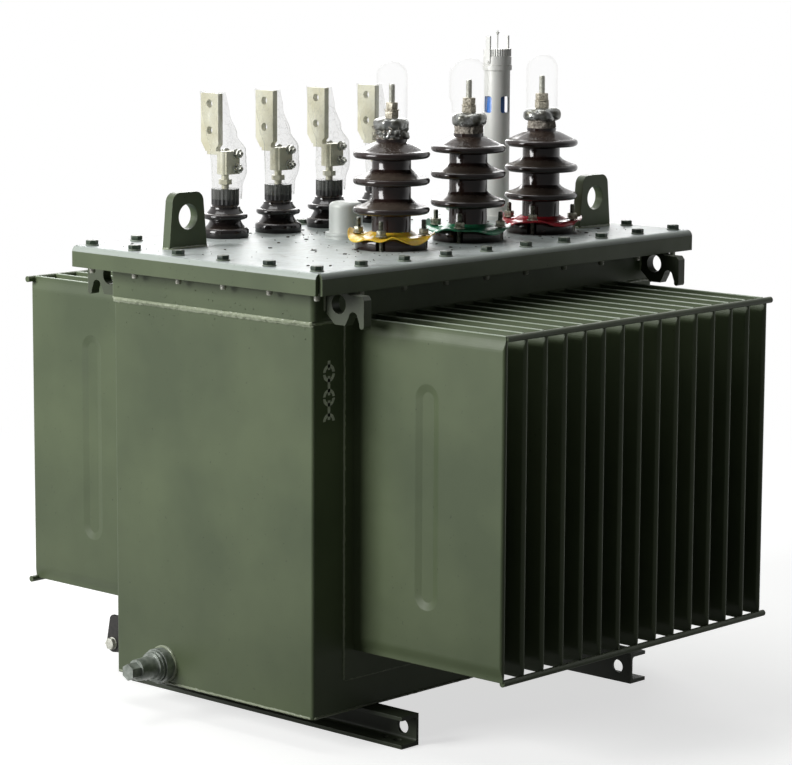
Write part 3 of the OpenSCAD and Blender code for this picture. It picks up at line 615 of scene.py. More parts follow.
def turned(mesh, outline, segments):
    """Spins an outline of (radius, height) points round the Z axis and returns its vertices."""
    points = [mesh.verts.new((radius, 0, height)) for radius, height in outline]
    edges = [mesh.edges.new(pair) for pair in zip(points, points[1:])]
    before = set(mesh.verts) - set(points)
    bmesh.ops.spin(mesh, geom=points + edges, axis=(0, 0, 1), cent=(0, 0, 0), angle=math.tau,
                   steps=segments, use_merge=True)
    new = [v for v in mesh.verts if v not in before]
    bmesh.ops.remove_doubles(mesh, verts=new, dist=0.001)
    return [v for v in mesh.verts if v not in before]


def six_sided(mesh, across, low, high, round_off=0.7):
    """A hexagon nut or bolt head, `across` wide over its flats, between two heights."""
    radius = across / math.sqrt(3)
    made = bmesh.ops.create_cone(mesh, cap_ends=True, segments=6, radius1=radius, radius2=radius,
                                 depth=high - low, matrix=Matrix.Translation((0, 0, (low + high) / 2)))
    edges = {edge for v in made["verts"] for edge in v.link_edges}
    rims = [edge for edge in edges if abs(edge.verts[0].co.z - edge.verts[1].co.z) < 0.001]
    bmesh.ops.bevel(mesh, geom=rims, offset=round_off, segments=2, profile=0.5, affect="EDGES", material=-1)


def washer(mesh, radius, low, high):
    """A round washer with soft rims."""
    soft = min(0.5, (high - low) / 3)
    turned(mesh, [(0, low), (radius - soft, low), (radius, low + soft), (radius, high - soft),
                  (radius - soft, high), (0, high)], 28)


def thread(mesh, radius, low, high, pitch=1.5):
    """A threaded rod end: ridges one pitch apart, and a chamfered tip."""
    turns = max(2, int((high - low) / pitch))
    step = (high - low) / turns
    ridges = []
    for turn in range(turns):
        ridges += [(radius * 0.88, low + turn * step), (radius, low + (turn + 0.5) * step)]
    turned(mesh, [(0, low)] + ridges[:-1] + [(radius * 0.8, high), (0, high)], 16)


def through_bolt(size, half, top, foot, bare):
    """An upright bolt through plates of this half thickness, with a washer and a hexagon on either side.

    The upper hexagon ends `top` over the plates and the lower one `foot` under them. Thread is drawn
    between the two heights in `bare`."""
    flats, wide, thick, rod = size
    bolt = bmesh.new()
    washer(bolt, wide, half, half + thick)
    six_sided(bolt, flats, half + thick, half + top)
    washer(bolt, wide, -half - thick, -half)
    six_sided(bolt, flats, -half - foot, -half - thick)
    thread(bolt, rod, *bare)
    return bolt


# %% [markdown]
# Twenty-eight M10 bolts press the lid on its gasket. On the real tank they are forged heads on round
# washers, painted over after they were tightened. One bolt is drawn at the origin and copied, each
# turned a little differently. Its nut and bare thread show under the flange, behind the lid's fold.

# %% Lid bolts
random.seed(7)
BOLT_PITCH_LONG = 93.8
BOLT_PITCH_SHORT = 98.6
# width over flats, radius and thickness of the washer, radius of the rod
M10 = (17, 10, 2, 5)
M10_FLATS, M10_WASHER, WASHER_THICK, M10_ROD = M10
LID_WASHER = 10.5
HEAD_TOP = 8.6
NUT_FOOT = 10
ROD_DROP = 12

bolt_x, bolt_y = 4.5 * BOLT_PITCH_LONG, 2.5 * BOLT_PITCH_SHORT
bolt_places = [((i - 4.5) * BOLT_PITCH_LONG, side * bolt_y) for i in range(10) for side in (-1, 1)]
bolt_places += [(side * bolt_x, (i - 1.5) * BOLT_PITCH_SHORT) for i in range(4) for side in (-1, 1)]


def bolt_matrices(height):
    """A place at this height for each lid bolt, turned at random."""
    return [Matrix.Translation((x, y, height)) @ spun(random.uniform(0, math.tau)) for x, y in bolt_places]


head = bmesh.new()
six_sided(head, M10_FLATS, WASHER_THICK, HEAD_TOP, round_off=1.0)
copied_piece("lid_bolts", head, bolt_matrices(LID_TOP), HARDWARE_ENAMEL)

flat_washer = bmesh.new()
washer(flat_washer, LID_WASHER, 0, WASHER_THICK)
copied_piece("lid_bolt_washers", flat_washer, bolt_matrices(LID_TOP), WASHER_ENAMEL)

nut = bmesh.new()
washer(nut, M10_WASHER, -WASHER_THICK, 0)
six_sided(nut, M10_FLATS, -NUT_FOOT, -WASHER_THICK, round_off=0.8)
copied_piece("lid_bolt_nuts", nut, bolt_matrices(FLANGE_UNDERSIDE), HARDWARE_ENAMEL)

rod_end = bmesh.new()
thread(rod_end, M10_ROD, -10, 9.5)
flip = Matrix.Rotation(math.pi, 4, "X")
end_places = [place @ flip for place in bolt_matrices(FLANGE_UNDERSIDE - ROD_DROP)]
copied_piece("lid_bolt_threads", rod_end, end_places, ZINC)

# %% [markdown]
# Arc welding joins the tank's plates. A bead is a half-round string of small overlapping ripples, one
# for each beat of the welder's hand. A circle is spun along the seam without turning, and each ring
# of points is then pushed in and out by a ripple and by noise. Both ends taper off.

# %% Weld beads
RIPPLE = 5.0
RING_STEP = 2.0
ON_END_FACE = Matrix.Rotation(math.pi / 2, 4, "Y")


def ripple_at(run, where, radius):
    """Radius of a weld bead after `run` millimetres: ripples of the hand, and uneven noise."""
    beat = abs(math.sin(math.pi * run / RIPPLE + 2.5 * noise.noise(where / 23)))
    return radius * (0.80 + 0.16 * beat + 0.34 * noise.noise(where / 6.5))


def bead_along(mesh, start, end, radius):
    """A straight bead of weld from start to end."""
    start, end = Vector(start), Vector(end)
    run = end - start
    steps = max(4, round(run.length / RING_STEP))
    turn = run.to_track_quat("Z", "Y").to_matrix().to_4x4()
    bead = bmesh.new()
    bmesh.ops.create_circle(bead, segments=8, radius=radius, matrix=Matrix.Translation(start) @ turn)
    bmesh.ops.spin(bead, geom=bead.verts[:] + bead.edges[:], axis=(0, 0, 1), cent=(0, 0, 0),
                   dvec=run / steps, angle=0, steps=steps)
    along = run.normalized()
    for v in bead.verts:
        done = (v.co - start).dot(along)
        middle = start + along * done
        taper = min(1.0, math.sqrt(max(0.0, min(done, run.length - done)) / (1.5 * radius)) + 0.1)
        v.co = middle + (v.co - middle).normalized() * ripple_at(done, v.co, radius) * taper
    bmesh.ops.holes_fill(bead, edges=[e for e in bead.edges if e.is_boundary], sides=0)
    add_copies(mesh, bead, [Matrix()])


def bead_round_boss(mesh, centre, radius, thick):
    """A bead of weld round a boss that stands on the -X end of the tank."""
    bead = bmesh.new()
    bmesh.ops.create_circle(bead, segments=8, radius=thick,
                            matrix=Matrix.Translation((radius, 0, 0)) @ ALONG_Y)
    bmesh.ops.spin(bead, geom=bead.verts[:] + bead.edges[:], axis=(0, 0, 1), cent=(0, 0, 0),
                   angle=math.tau, steps=80, use_merge=True)
    for v in bead.verts:
        turn = math.atan2(v.co.y, v.co.x)
        middle = Vector((radius * math.cos(turn), radius * math.sin(turn), 0))
        v.co = middle + (v.co - middle).normalized() * ripple_at(abs(turn) * radius, v.co, thick)
    add_copies(mesh, bead, [Matrix.Translation(centre) @ ON_END_FACE])


# %% [markdown]
# The heaviest weld runs under the top band on both ends of the tank, in several passes, and turns the
# corners. Thinner ones hold the fin walls, the bottom plate, the lifting lugs, the ears, the earth
# plate and the valve's boss. All lie in the corner between two plates that are already there.

# %% Welds of the tank
WALL_LOW, WALL_HIGH = box_mm("hv_wall")
END_X, SIDE_Y = TANK_HIGH.x, TANK_HIGH.y
BAND_FOOT = BAND_LOW.z
WELD_FLOOR = TANK_LOW.z + 2
# radius of a pass, how far its middle lies under the band's foot and how far out of the end plate
BAND_PASSES = ((4.4, 3.6, 0.2), (3.2, 6.6, -0.6), (2.6, 1.4, 1.8))
EAR_X = box_mm("hv_side_ears")[1].x - 8
EAR_HALF = 8
# radii of the thinner beads
CORNER_WELD, WALL_WELD, FLOOR_WELD, LUG_WELD, LUG_END_WELD = 3.6, 2.4, 2.2, 3.6, 3.2
PLATE_WELD, BOSS_WELD = 2.6, 3.2

welds = bmesh.new()
for side in (-1, 1):
    x, y = side * END_X, side * SIDE_Y
    for pass_radius, drop, out in BAND_PASSES:
        at_x, at_z = side * (END_X + out), BAND_FOOT - drop
        bead_along(welds, (at_x, -SIDE_Y - 1.5, at_z), (at_x, SIDE_Y + 1.5, at_z), pass_radius)
    for end in (-1, 1):
        wall_x = end * WALL_HIGH.x
        bead_along(welds, (end * (END_X + 1), y, BAND_FOOT - 3), (wall_x, y, BAND_FOOT - 3), CORNER_WELD)
        bead_along(welds, (wall_x, y, WALL_LOW.z), (wall_x, y, BAND_FOOT), WALL_WELD)
    bead_along(welds, (WALL_LOW.x, y, WALL_LOW.z), (WALL_HIGH.x, y, WALL_LOW.z), WALL_WELD)
    bead_along(welds, (x, -SIDE_Y + 3, WELD_FLOOR), (x, SIDE_Y - 3, WELD_FLOOR), FLOOR_WELD)
    bead_along(welds, (-END_X + 3, y, WELD_FLOOR), (END_X - 3, y, WELD_FLOOR), FLOOR_WELD)

for name in ("lifting_lug_left", "lifting_lug_right"):
    low, high = box_mm(name)
    for y in (low.y, high.y):
        bead_along(welds, (low.x, y, LID_TOP), (high.x, y, LID_TOP), LUG_WELD)
    for x in (low.x, high.x):
        bead_along(welds, (x, low.y, LID_TOP), (x, high.y, LID_TOP), LUG_END_WELD)

for y in (-BAND_HIGH.y, BAND_HIGH.y):
    for x in (-EAR_X - EAR_HALF, -EAR_X + EAR_HALF, EAR_X - EAR_HALF, EAR_X + EAR_HALF):
        bead_along(welds, (x, y, BAND_FOOT + 14), (x, y, FLANGE_UNDERSIDE - 8), PLATE_WELD)

earth_low, earth_high = box_mm("earth_terminal")
for x in (earth_low.x, earth_high.x):
    bead_along(welds, (x, SIDE_Y, earth_low.z + 6), (x, SIDE_Y, earth_high.z), PLATE_WELD)

valve_low, valve_high = box_mm("drain_valve")
valve_centre = centre_mm("drain_valve")
boss_radius = (valve_high.y - valve_low.y) / 2
bead_round_boss(welds, (-END_X, valve_centre.y, valve_centre.z), boss_radius, BOSS_WELD)
finish_piece("tank_welds", welds, WELD_ENAMEL, sharp=60)

# %% [markdown]
# Welding throws droplets that freeze on the plates near the seam and are painted over. A drop is a
# coarse ball sunk to its middle in the band or the end plate, and most lie close to the bead.

# %% Weld spatter
DROPS = 110

spatter = bmesh.new()
for drop in range(DROPS):
    ball = bmesh.new()
    bmesh.ops.create_icosphere(ball, subdivisions=1, radius=random.uniform(0.5, 1.3))
    side = random.choice((-1, 1))
    away = random.gauss(0, 16)
    face_x = (BAND_HIGH.x if away > 0 else END_X) * side
    spot = (face_x, random.uniform(-SIDE_Y + 8, SIDE_Y - 8), BAND_FOOT + away + (3 if away > 0 else -8))
    if spot[2] < FLANGE_UNDERSIDE - 4:
        add_copies(spatter, ball, [Matrix.Translation(spot)])
    else:
        ball.free()
finish_piece("weld_spatter", spatter, ENAMEL, sharp=80)

# %% [markdown]
# A lid that has stood outdoors carries grit, seed husks and flakes of bark. They look dark from the
# side, because they stand up from the pale dust. Each is a flattened, dented ball, thrown at random
# on the lid, more of them round the bushings.

# %% Litter on the lid
LITTER_ROUND = ("hv_porcelain_1", "hv_porcelain_2", "hv_porcelain_3", "gauge_tube", "filler_cap")
CRUMB_SHAPES, FINE_SHAPES, CRUMBS_OF_A_SHAPE = 12, 10, 26

litter = bmesh.new()
for shape in range(CRUMB_SHAPES):
    size = random.uniform(0.6, 1.3) if shape < FINE_SHAPES else random.uniform(1.8, 2.8)
    flake = bmesh.new()
    for v in bmesh.ops.create_icosphere(flake, subdivisions=1, radius=size)["verts"]:
        v.co *= 1 + 0.5 * noise.noise(v.co / size + Vector((3.1 * shape, 0, 0)))
        v.co.x *= 1.7
        v.co.z *= 0.55
    places = []
    for crumb in range(CRUMBS_OF_A_SHAPE):
        x, y = random.uniform(-BAND_HIGH.x, BAND_HIGH.x), random.uniform(-BAND_HIGH.y, BAND_HIGH.y)
        if random.random() < 0.5:
            axis = centre_mm(random.choice(LITTER_ROUND))
            reach, turn = 60 + abs(random.gauss(0, 45)), random.uniform(0, math.tau)
            x, y = axis.x + reach * math.cos(turn), axis.y + reach * math.sin(turn)
        if abs(x) < BAND_HIGH.x and abs(y) < BAND_HIGH.y:
            turn = spun(random.uniform(0, math.tau))
            places.append(Matrix.Translation((x, y, LID_TOP + size * 0.3)) @ turn)
    add_copies(litter, flake, places)
finish_piece("lid_litter", litter, DRY_LITTER, sharp=80)

# %% [markdown]
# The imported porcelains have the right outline, and their facets show in a mirror-like glaze. So each
# is turned once more from the same heights, finely enough to reflect smoothly. A shed is a thick
# rounded rim under a slope that steepens towards the body. Glaze pools unevenly in the kiln, so slow
# noise makes the body slightly out of round.

# %% Porcelain outlines
STUD_RING = 53.0
STUD_TURNS = [math.radians(26.5 + 90 * i) for i in range(4)]
NOTCH = 6.0
FOOT_TOP = 20.0


def shed_outline(rim, body, height, edge, rise, from_body, hollow):
    """Points of one shed, from the body under it, round its rim and up its slope to the body.

    hollow is the share of the rise that comes only at the end of the slope."""
    shoulder = rim - edge - 1
    under = height - edge
    lower = [(from_body, under - 3.4), (from_body + 2.5, under - 1.6), (shoulder, under)]
    bend = [(rim - edge + edge * math.sin(a), height - edge * math.cos(a))
            for a in (math.radians(d) for d in (10, 30, 50, 70, 90, 110, 130, 150, 165))]
    slope = []
    for t in (0.04, 0.15, 0.3, 0.45, 0.6, 0.72, 0.82, 0.9, 0.96, 1.0):
        climb = (1 - hollow) * t + hollow * t**5
        slope.append((shoulder - (shoulder - body) * t, height + edge + (rise - edge) * climb))
    return lower + bend + slope


def glazed_body(name, node, outline, segments, notched=False):
    """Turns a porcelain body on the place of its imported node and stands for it."""
    axis = centre_mm(node)
    body = bmesh.new()
    for v in turned(body, outline, segments):
        reach = v.co.xy.length
        if reach < 0.5:
            continue
        turn = math.atan2(v.co.y, v.co.x)
        wide = reach * (1 + 0.004 * noise.noise(Vector((v.co.x / 30, v.co.y / 30, axis.x + v.co.z / 18))))
        if notched and v.co.z <= FOOT_TOP + 0.01:
            for stud_turn in STUD_TURNS:
                off = (turn - stud_turn + math.pi) % math.tau - math.pi
                across = STUD_RING * math.sin(off)
                if abs(off) < 1 and abs(across) < NOTCH:
                    wide = min(wide, STUD_RING * math.cos(off) - math.sqrt(NOTCH**2 - across**2))
        v.co.xy = v.co.xy.normalized() * wide
    stand_on_lid(body, axis)
    piece = finish_piece(name, body, GLAZE if notched else DARK_GLAZE, sharp=50)
    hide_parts(node)


HV_NAMES = ("hv_porcelain_1", "hv_porcelain_2", "hv_porcelain_3")
HV_AXES = [centre_mm(name) for name in HV_NAMES]
HV_RIM, HV_CORE, HV_NECK = 60.0, 30.5, 24.0
hv_outline = [(0, 0), (55.5, 0), (57, 1.5), (57, 9), (57, 18.2), (55.2, FOOT_TOP)]
hv_outline += [(44, FOOT_TOP), (34, FOOT_TOP + 0.5), (HV_CORE, FOOT_TOP + 4)]
for height in (60.5, 106.0):
    hv_outline += shed_outline(HV_RIM, HV_CORE, height, 5.6, 19, HV_CORE, hollow=0.35)
hv_outline += shed_outline(HV_RIM, HV_NECK, 147.0, 5.6, 19.5, HV_CORE, hollow=-0.08)
hv_outline += [(HV_NECK, 171), (0, 171)]
for number, node in enumerate(HV_NAMES, start=1):
    glazed_body(f"hv_glazed_body_{number}", node, hv_outline, 160, notched=True)

LV_NAMES = ("lv_porcelain_1", "lv_porcelain_2", "lv_porcelain_3", "lv_porcelain_4")
LV_AXES = [centre_mm(name) for name in LV_NAMES]
lv_outline = [(0, 0), (36.6, 0), (38, 1.4), (38, 11.5), (36.8, 14), (33, 16.2)]
lv_outline += [(28.5, 20), (26, 24.5), (25, 27)]
lv_outline += shed_outline(36.0, 24.0, 34.0, 4.6, 12.5, 25.0, hollow=0.1)
lv_outline += [(24, 50), (22, 51), (22, 53), (0, 53)]
for number, node in enumerate(LV_NAMES, start=1):
    glazed_body(f"lv_glazed_body_{number}", node, lv_outline, 96)

# %% [markdown]
# Each high-voltage bushing is held to the lid by four M8 studs that pass through the notches in its
# porcelain foot. A washer and a nut press on the foot, over the coloured collar. The nuts
# are pale with zinc, and the studs are dull.

# %% Clamp studs of the high-voltage bushings
# the nuts and washers are wide for M8, and their heights are over the lid
NUT_FLATS, WIDE_WASHER, STUD_HEIGHT = 14, 9, 47
WASHER_LOW, WASHER_HIGH, NUT_HIGH = FOOT_TOP + 2.6, FOOT_TOP + 5.0, FOOT_TOP + 13

stud = bmesh.new()
thread(stud, 4, 0, STUD_HEIGHT, pitch=1.8)
clamp_nut = bmesh.new()
washer(clamp_nut, WIDE_WASHER, WASHER_LOW, WASHER_HIGH)
six_sided(clamp_nut, NUT_FLATS, WASHER_HIGH, NUT_HIGH, round_off=1.2)

stud_places = []
for axis in HV_AXES:
    for turn in STUD_TURNS:
        spot = Vector((axis.x + STUD_RING * math.cos(turn), axis.y + STUD_RING * math.sin(turn), LID_TOP))
        lean = Matrix.Rotation(random.uniform(-0.03, 0.03), 4, "X")
        stud_places.append(Matrix.Translation(spot) @ lean @ spun(random.uniform(0, 6)))
copied_piece("hv_clamp_studs", stud, stud_places, DULL_STUD)
copied_piece("hv_clamp_nuts", clamp_nut, stud_places, DULL_ZINC)

# %% [markdown]
# The phase collars are rings cut from soft coloured sheet. They lie flat on the porcelain's foot and
# droop between the clamp studs that pin them down. A line of points is spun to a flat ring, each fold
# then lifts or lowers the rim around one direction, and solidify gives the sheet its thickness.

# %% Phase collars
SHEET = 1.8
CORE_CLIMB = 6.5
COLLAR_INNER = 32.2
COLLAR_LIFT = 0.3
EDGE_START = 54.0


def drooping_collar(node, name, finish, axis, level, folds):
    """A soft ring. Each fold is a direction and a width in degrees, and a height of the rim in mm."""
    low, high = box_mm(node)
    outer = (high.x - low.x) / 2
    collar = bmesh.new()
    radii = [COLLAR_INNER + (outer - COLLAR_INNER) * k / 16 for k in range(17)]
    turned(collar, [(r, 0) for r in radii], 160)
    for v in collar.verts:
        reach = v.co.xy.length
        turn = math.degrees(math.atan2(v.co.y, v.co.x))
        rim = level
        for middle, width, height in folds:
            apart = (turn - middle + 180) % 360 - 180
            rim += height * math.exp(-((apart / width) ** 2))
        rim += 0.9 * noise.noise(Vector((turn / 14, axis.x / 50, 0.3)))
        lift = max(0.0, (reach - EDGE_START) / (outer - EDGE_START)) ** 1.6
        reach += 0.8 * lift * noise.noise(Vector((turn / 20, 4.0, axis.x / 40)))
        climb = max(0.0, 1 - (v.co.xy.length - COLLAR_INNER) / 15) ** 1.5
        uneven = noise.noise(Vector((v.co.x / 12, v.co.y / 12, axis.x)))
        rest = FOOT_TOP + 0.6 + CORE_CLIMB * climb + 0.5 * uneven
        around = math.radians(turn)
        v.co = Vector((reach * math.cos(around), reach * math.sin(around), rest + (rim - FOOT_TOP) * lift))
    bmesh.ops.recalc_face_normals(collar, faces=collar.faces)
    bmesh.ops.solidify(collar, geom=list(collar.faces), thickness=-SHEET)
    stand_on_lid(collar, axis, COLLAR_LIFT)
    piece = finish_piece(name, collar, finish, sharp=50)
    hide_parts(node)


BEHIND = [(-8, 14, -6), (66, 16, -6), (114, 17, 10), (-44, 15, 5)]
YELLOW_FOLDS = [(-101, 19, -9.5), (161, 20, -7), (-135, 9, 5), (-152, 11, -2.5), (-67, 10, 4)]
GREEN_FOLDS = [(-97, 21, -7.5), (169, 16, -4.5), (-170, 8, 3), (-77, 8, 2)]
RED_FOLDS = [(-105, 24, -6), (174, 9, -5), (-141, 13, 4.5), (-76, 8, 3)]
COLLARS = (
    ("yellow", YELLOW_SHEET, 20.0, YELLOW_FOLDS),
    ("green", GREEN_SHEET, 21.0, GREEN_FOLDS),
    ("red", RED_SHEET, 20.5, RED_FOLDS),
)
for number, (colour, finish, level, folds) in enumerate(COLLARS, start=1):
    drooping_collar(f"hv_phase_collar_{number}", f"{colour}_phase_collar", finish,
                    HV_AXES[number - 1], level, folds + BEHIND)

# %% [markdown]
# A high-voltage bushing ends in a crumpled metal cap over a rough cement neck, with two nuts and a
# stud. A smooth pillow would look moulded. So a fine ball is pressed into a pillow shape first, and
# folded noise then creases it: the absolute value of noise has sharp valleys, like foil.

# %% High-voltage caps
NECK_FOOT = 166.0
CAP_FOOT, CAP_TOP = 181.0, 203.5
CAP_BULGE = 0.42


def creases(where, size, seed):
    """Sharp folds about `size` mm apart, from 0 in a valley to about 1 on a ridge."""
    spot = where / size + Vector((seed, seed * 2.3, seed * 0.7))
    return sum(share * abs(noise.noise(spot * finer)) for share, finer in ((1.7, 1), (0.6, 2.3), (0.18, 5.1)))


def crumpled_cap(mesh, radius, low, high, seed, depth=3.0, fold_size=30):
    """A pillow of crumpled sheet metal between two heights."""
    made = bmesh.ops.create_icosphere(mesh, subdivisions=5, radius=1.0)
    half = (high - low) / 2
    for v in made["verts"]:
        flat = v.co.xy.length
        spread = flat**CAP_BULGE if flat > 0 else 0
        rise = math.copysign(abs(v.co.z) ** 0.75, v.co.z)
        side = v.co.xy.normalized() if flat > 0 else Vector((0, 0))
        shaped = Vector((side.x * spread * radius, side.y * spread * radius, rise * half))
        fold = creases(shaped, fold_size, seed) * depth - depth * 0.5
        dent = 2.6 * noise.noise(shaped / 24 + Vector((seed, 0, seed)))
        v.co = shaped + v.co.normalized() * (fold + dent) * (0.35 + 0.65 * flat)
    bmesh.ops.translate(mesh, vec=(0, 0, (low + high) / 2), verts=made["verts"])


def rough_neck(mesh, low, high, radius, seed):
    """A ring of rough cement round the top of the porcelain."""
    wall = [(radius, low + (high - low) * k / 12) for k in range(13)]
    outline = [(0, low)] + wall + [(0, high)]
    for v in turned(mesh, outline, 72):
        if v.co.xy.length > 1:
            lump = noise.noise(v.co / 5 + Vector((seed, 0, 0))) + 0.6 * noise.noise(v.co / 2.3)
            v.co.xy *= 1 + 0.075 * lump


CAP_RADII = (28.0, 28.5, 28.5)
NECK_RADIUS = 22.5
NUT_HEIGHT, NUT_ROUND, NUT_BATTER = 11, 1.6, 0.9
for number, axis in enumerate(HV_AXES, start=1):
    seed = 3.7 * number
    node = f"hv_terminal_{number}"
    neck, cap, nuts, rod = bmesh.new(), bmesh.new(), bmesh.new(), bmesh.new()
    rough_neck(neck, NECK_FOOT, CAP_FOOT + 5, NECK_RADIUS, seed)
    crumpled_cap(cap, CAP_RADII[number - 1], CAP_FOOT, CAP_TOP, seed)
    if number == 1:
        crumpled_cap(cap, 25, 169, 192, seed + 9, depth=5.5, fold_size=15)
    lower_top = CAP_TOP + NUT_HEIGHT
    upper_foot = lower_top + WASHER_THICK
    six_sided(nuts, 20, CAP_TOP - 2, lower_top, round_off=NUT_ROUND)
    washer(nuts, 11.5, lower_top, upper_foot)
    six_sided(nuts, 18, upper_foot, upper_foot + NUT_HEIGHT, round_off=NUT_ROUND)
    for v in nuts.verts:
        batter = Vector((noise.noise(v.co / 4), noise.noise(v.co / 4 + Vector((7, 0, 0))), 0))
        v.co += batter * NUT_BATTER
    thread(rod, M10_ROD, CAP_TOP, box_mm(node)[1].z - LID_TOP, pitch=1.9)
    stand = Matrix.Translation((axis.x, axis.y, LID_TOP)) @ spun(1.3 * number)
    for part, label, finish in ((neck, "neck", NECK_CEMENT), (cap, "cap", CAP_METAL), (nuts, "nuts", BRASS),
                                (rod, "stud", ZINC)):
        bmesh.ops.transform(part, matrix=stand, verts=part.verts)
        piece = finish_piece(f"hv_{label}_{number}", part, finish, sharp=45)
        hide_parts(node)

# %% [markdown]
# The wrap of the first cap has frayed into thin pale wisps. Each wisp is a small circle spun through
# part of a turn, which gives a curled strand, and tumbled at random.

# %% Frayed wisps on the first cap
WISPS = 34

wisps = bmesh.new()
for strand in range(WISPS):
    curl = bmesh.new()
    bmesh.ops.create_circle(curl, segments=5, radius=random.uniform(0.35, 0.7),
                            matrix=Matrix.Translation((random.uniform(4, 11), 0, 0)) @ ALONG_Y)
    bmesh.ops.spin(curl, geom=curl.verts[:] + curl.edges[:], axis=(0, 0, 1), cent=(0, 0, 0),
                   angle=random.uniform(1.2, 3.6), steps=14)
    side = math.radians(random.gauss(160, 38))
    spot = Vector((math.cos(side), math.sin(side), 0)) * random.uniform(21, 25)
    spot += HV_AXES[0].xy.to_3d() + Vector((0, 0, LID_TOP + random.uniform(172, 196)))
    tumble_axis = [random.random() - 0.5 for part in range(3)]
    tumble = Quaternion(tumble_axis, random.uniform(0, 6))
    add_copies(wisps, curl, [Matrix.Translation(spot) @ tumble.to_matrix().to_4x4()])
finish_piece("hv_cap_wisps", wisps, NECK_CEMENT)

# %% [markdown]
# Two M8 bolts close each split clamp under a low-voltage palm. Their heads are on the far side, and
# nuts with short thread ends show on the near side. One bolt is drawn upright and laid along Y.

# %% Clamp bolts of the low-voltage terminals
CLAMP_HALF = 11.0
CLAMP_BOLT_X = 14.5
CLAMP_BOLT_HEIGHTS = (110.0, 134.0)
M8 = (13, 8, 1.6, 4)

clamp_bolt = through_bolt(M8, CLAMP_HALF, 8.4, 7, (CLAMP_HALF + 6, CLAMP_HALF + 13))
clamp_places = []
for axis in LV_AXES:
    for height in CLAMP_BOLT_HEIGHTS:
        spot = Matrix.Translation((axis.x + CLAMP_BOLT_X, axis.y, LID_TOP + height))
        clamp_places.append(spot @ ALONG_Y @ spun(random.uniform(0, 6)))
copied_piece("lv_clamp_bolts", clamp_bolt, clamp_places, NICKEL)

# %% [markdown]
# Thin film bags keep dust off the low-voltage palms. A bag hangs from the palm's top corners, swells
# over the clamp and closes round the rubber sleeve. It starts as a fine tube. Its outline at each
# height is a rounded rectangle that goes from the palm's width to the sleeve's circle, and creases run
# down it. The real film is a tenth of a millimetre thick, and is drawn as one thin surface.

# %% Film bags
BAG_FOOT = 62.0
BAG_ROWS = 64
LOW_MIDDLE_Y = -4.0
PALM_BEHIND = 20.0
BAG_STATIONS = (
    # height over the lid, middle in x, share of the palm's y, half widths in x and y, squareness
    (BAG_FOOT, 0.0, None, 23.4, 23.4, 2.0),
    (80.0, 0.5, None, 24.5, 24.5, 2.0),
    (106.0, 4.5, None, 27.5, 28.0, 2.1),
    (140.0, 3.5, None, 25.0, 28.5, 2.3),
    (165.0, -1.0, 0.25, 16.5, 28.0, 2.6),
    (200.0, -3.0, 0.7, 11.5, 27.0, 3.0),
    (234.5, -3.5, 0.9, 9.0, 25.5, 4.0),
)


def between_stations(height, palm_y):
    """Middle, half widths and squareness of a bag at a height, blended smoothly."""
    rows = []
    for height_here, x, share, *widths in BAG_STATIONS:
        y = LOW_MIDDLE_Y if share is None else palm_y * share
        rows.append((height_here, x, y, *widths))
    for below, above in zip(rows, rows[1:]):
        if height <= above[0] or above is rows[-1]:
            t = min(1.0, max(0.0, (height - below[0]) / (above[0] - below[0])))
            t = t * t * (3 - 2 * t)
            return [a + (b - a) * t for a, b in zip(below[1:], above[1:])]


bags = bmesh.new()
for number, axis in enumerate(LV_AXES, start=1):
    palm_high = box_mm(f"lv_terminal_{number}")[1]
    palm_y = palm_high.y - PALM_BEHIND - axis.y
    bag_top = palm_high.z - LID_TOP + 3
    bag = bmesh.new()
    heights = [BAG_FOOT + (bag_top - BAG_FOOT) * k / BAG_ROWS for k in range(BAG_ROWS + 1)]
    turned(bag, [(1, h) for h in heights] + [(0.5, bag_top + 0.4), (0, bag_top + 0.6)], 96)
    for v in bag.verts:
        inside = v.co.xy.length
        turn = math.atan2(v.co.y, v.co.x)
        cx, cy, hx, hy, n = between_stations(v.co.z, palm_y)
        c, s = math.cos(turn), math.sin(turn)
        reach = (abs(c / hx) ** n + abs(s / hy) ** n) ** (-1 / n)
        height = v.co.z
        loose = min(1.0, max(0.12, (height - 84) / 25)) * min(1.0, max(0.25, (bag_top - height) / 40))
        around = Vector((3.2 * c, 3.2 * s, height / 85 + 5 * number))
        fold = 4.2 * abs(noise.noise(around)) + 1.6 * abs(noise.noise(around * 2.7)) - 1.2
        gather = 0.7 * math.cos(26 * turn + 2 * noise.noise(around)) * max(0.0, 1 - (height - BAG_FOOT) / 22)
        reach = (reach - fold * loose + gather) * inside
        v.co = Vector((cx + reach * c, cy + reach * s, height))
    stand_on_lid(bag, axis)
    add_copies(bags, bag, [Matrix()])
film_bags = finish_piece("film_bags", bags, FILM, sharp=70)
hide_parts("lv_film_bags")

# %% [markdown]
# A zinc-plated bolt waits in the hole of the earth plate, for the earth strap. It is the same bolt
# as on the lid, laid along X, with a washer under its head and a nut behind.

# %% Earth bolt
EARTH_HOLE_Y, EARTH_HOLE_Z = SIDE_Y + 22.5, valve_centre.z + 9
earth_half = (earth_high.x - earth_low.x) / 2
earth_bolt = through_bolt(M10, earth_half, 8.4, NUT_FOOT, (-earth_half - 16, -earth_half - 9))
earth_place = Matrix.Translation((centre_mm("earth_terminal").x, EARTH_HOLE_Y, EARTH_HOLE_Z))
earth_place @= Matrix.Rotation(-math.pi / 2, 4, "Y")
bmesh.ops.transform(earth_bolt, matrix=earth_place, verts=earth_bolt.verts)
finish_piece("earth_bolt", earth_bolt, ZINC)

# %% [markdown]
# The float of the level gauge is a plastic cylinder with a rounded top. It is loose in its tube and
# stands close to the wall at one side, so that the window on that side is filled with blue and light
# passes by it at the other.

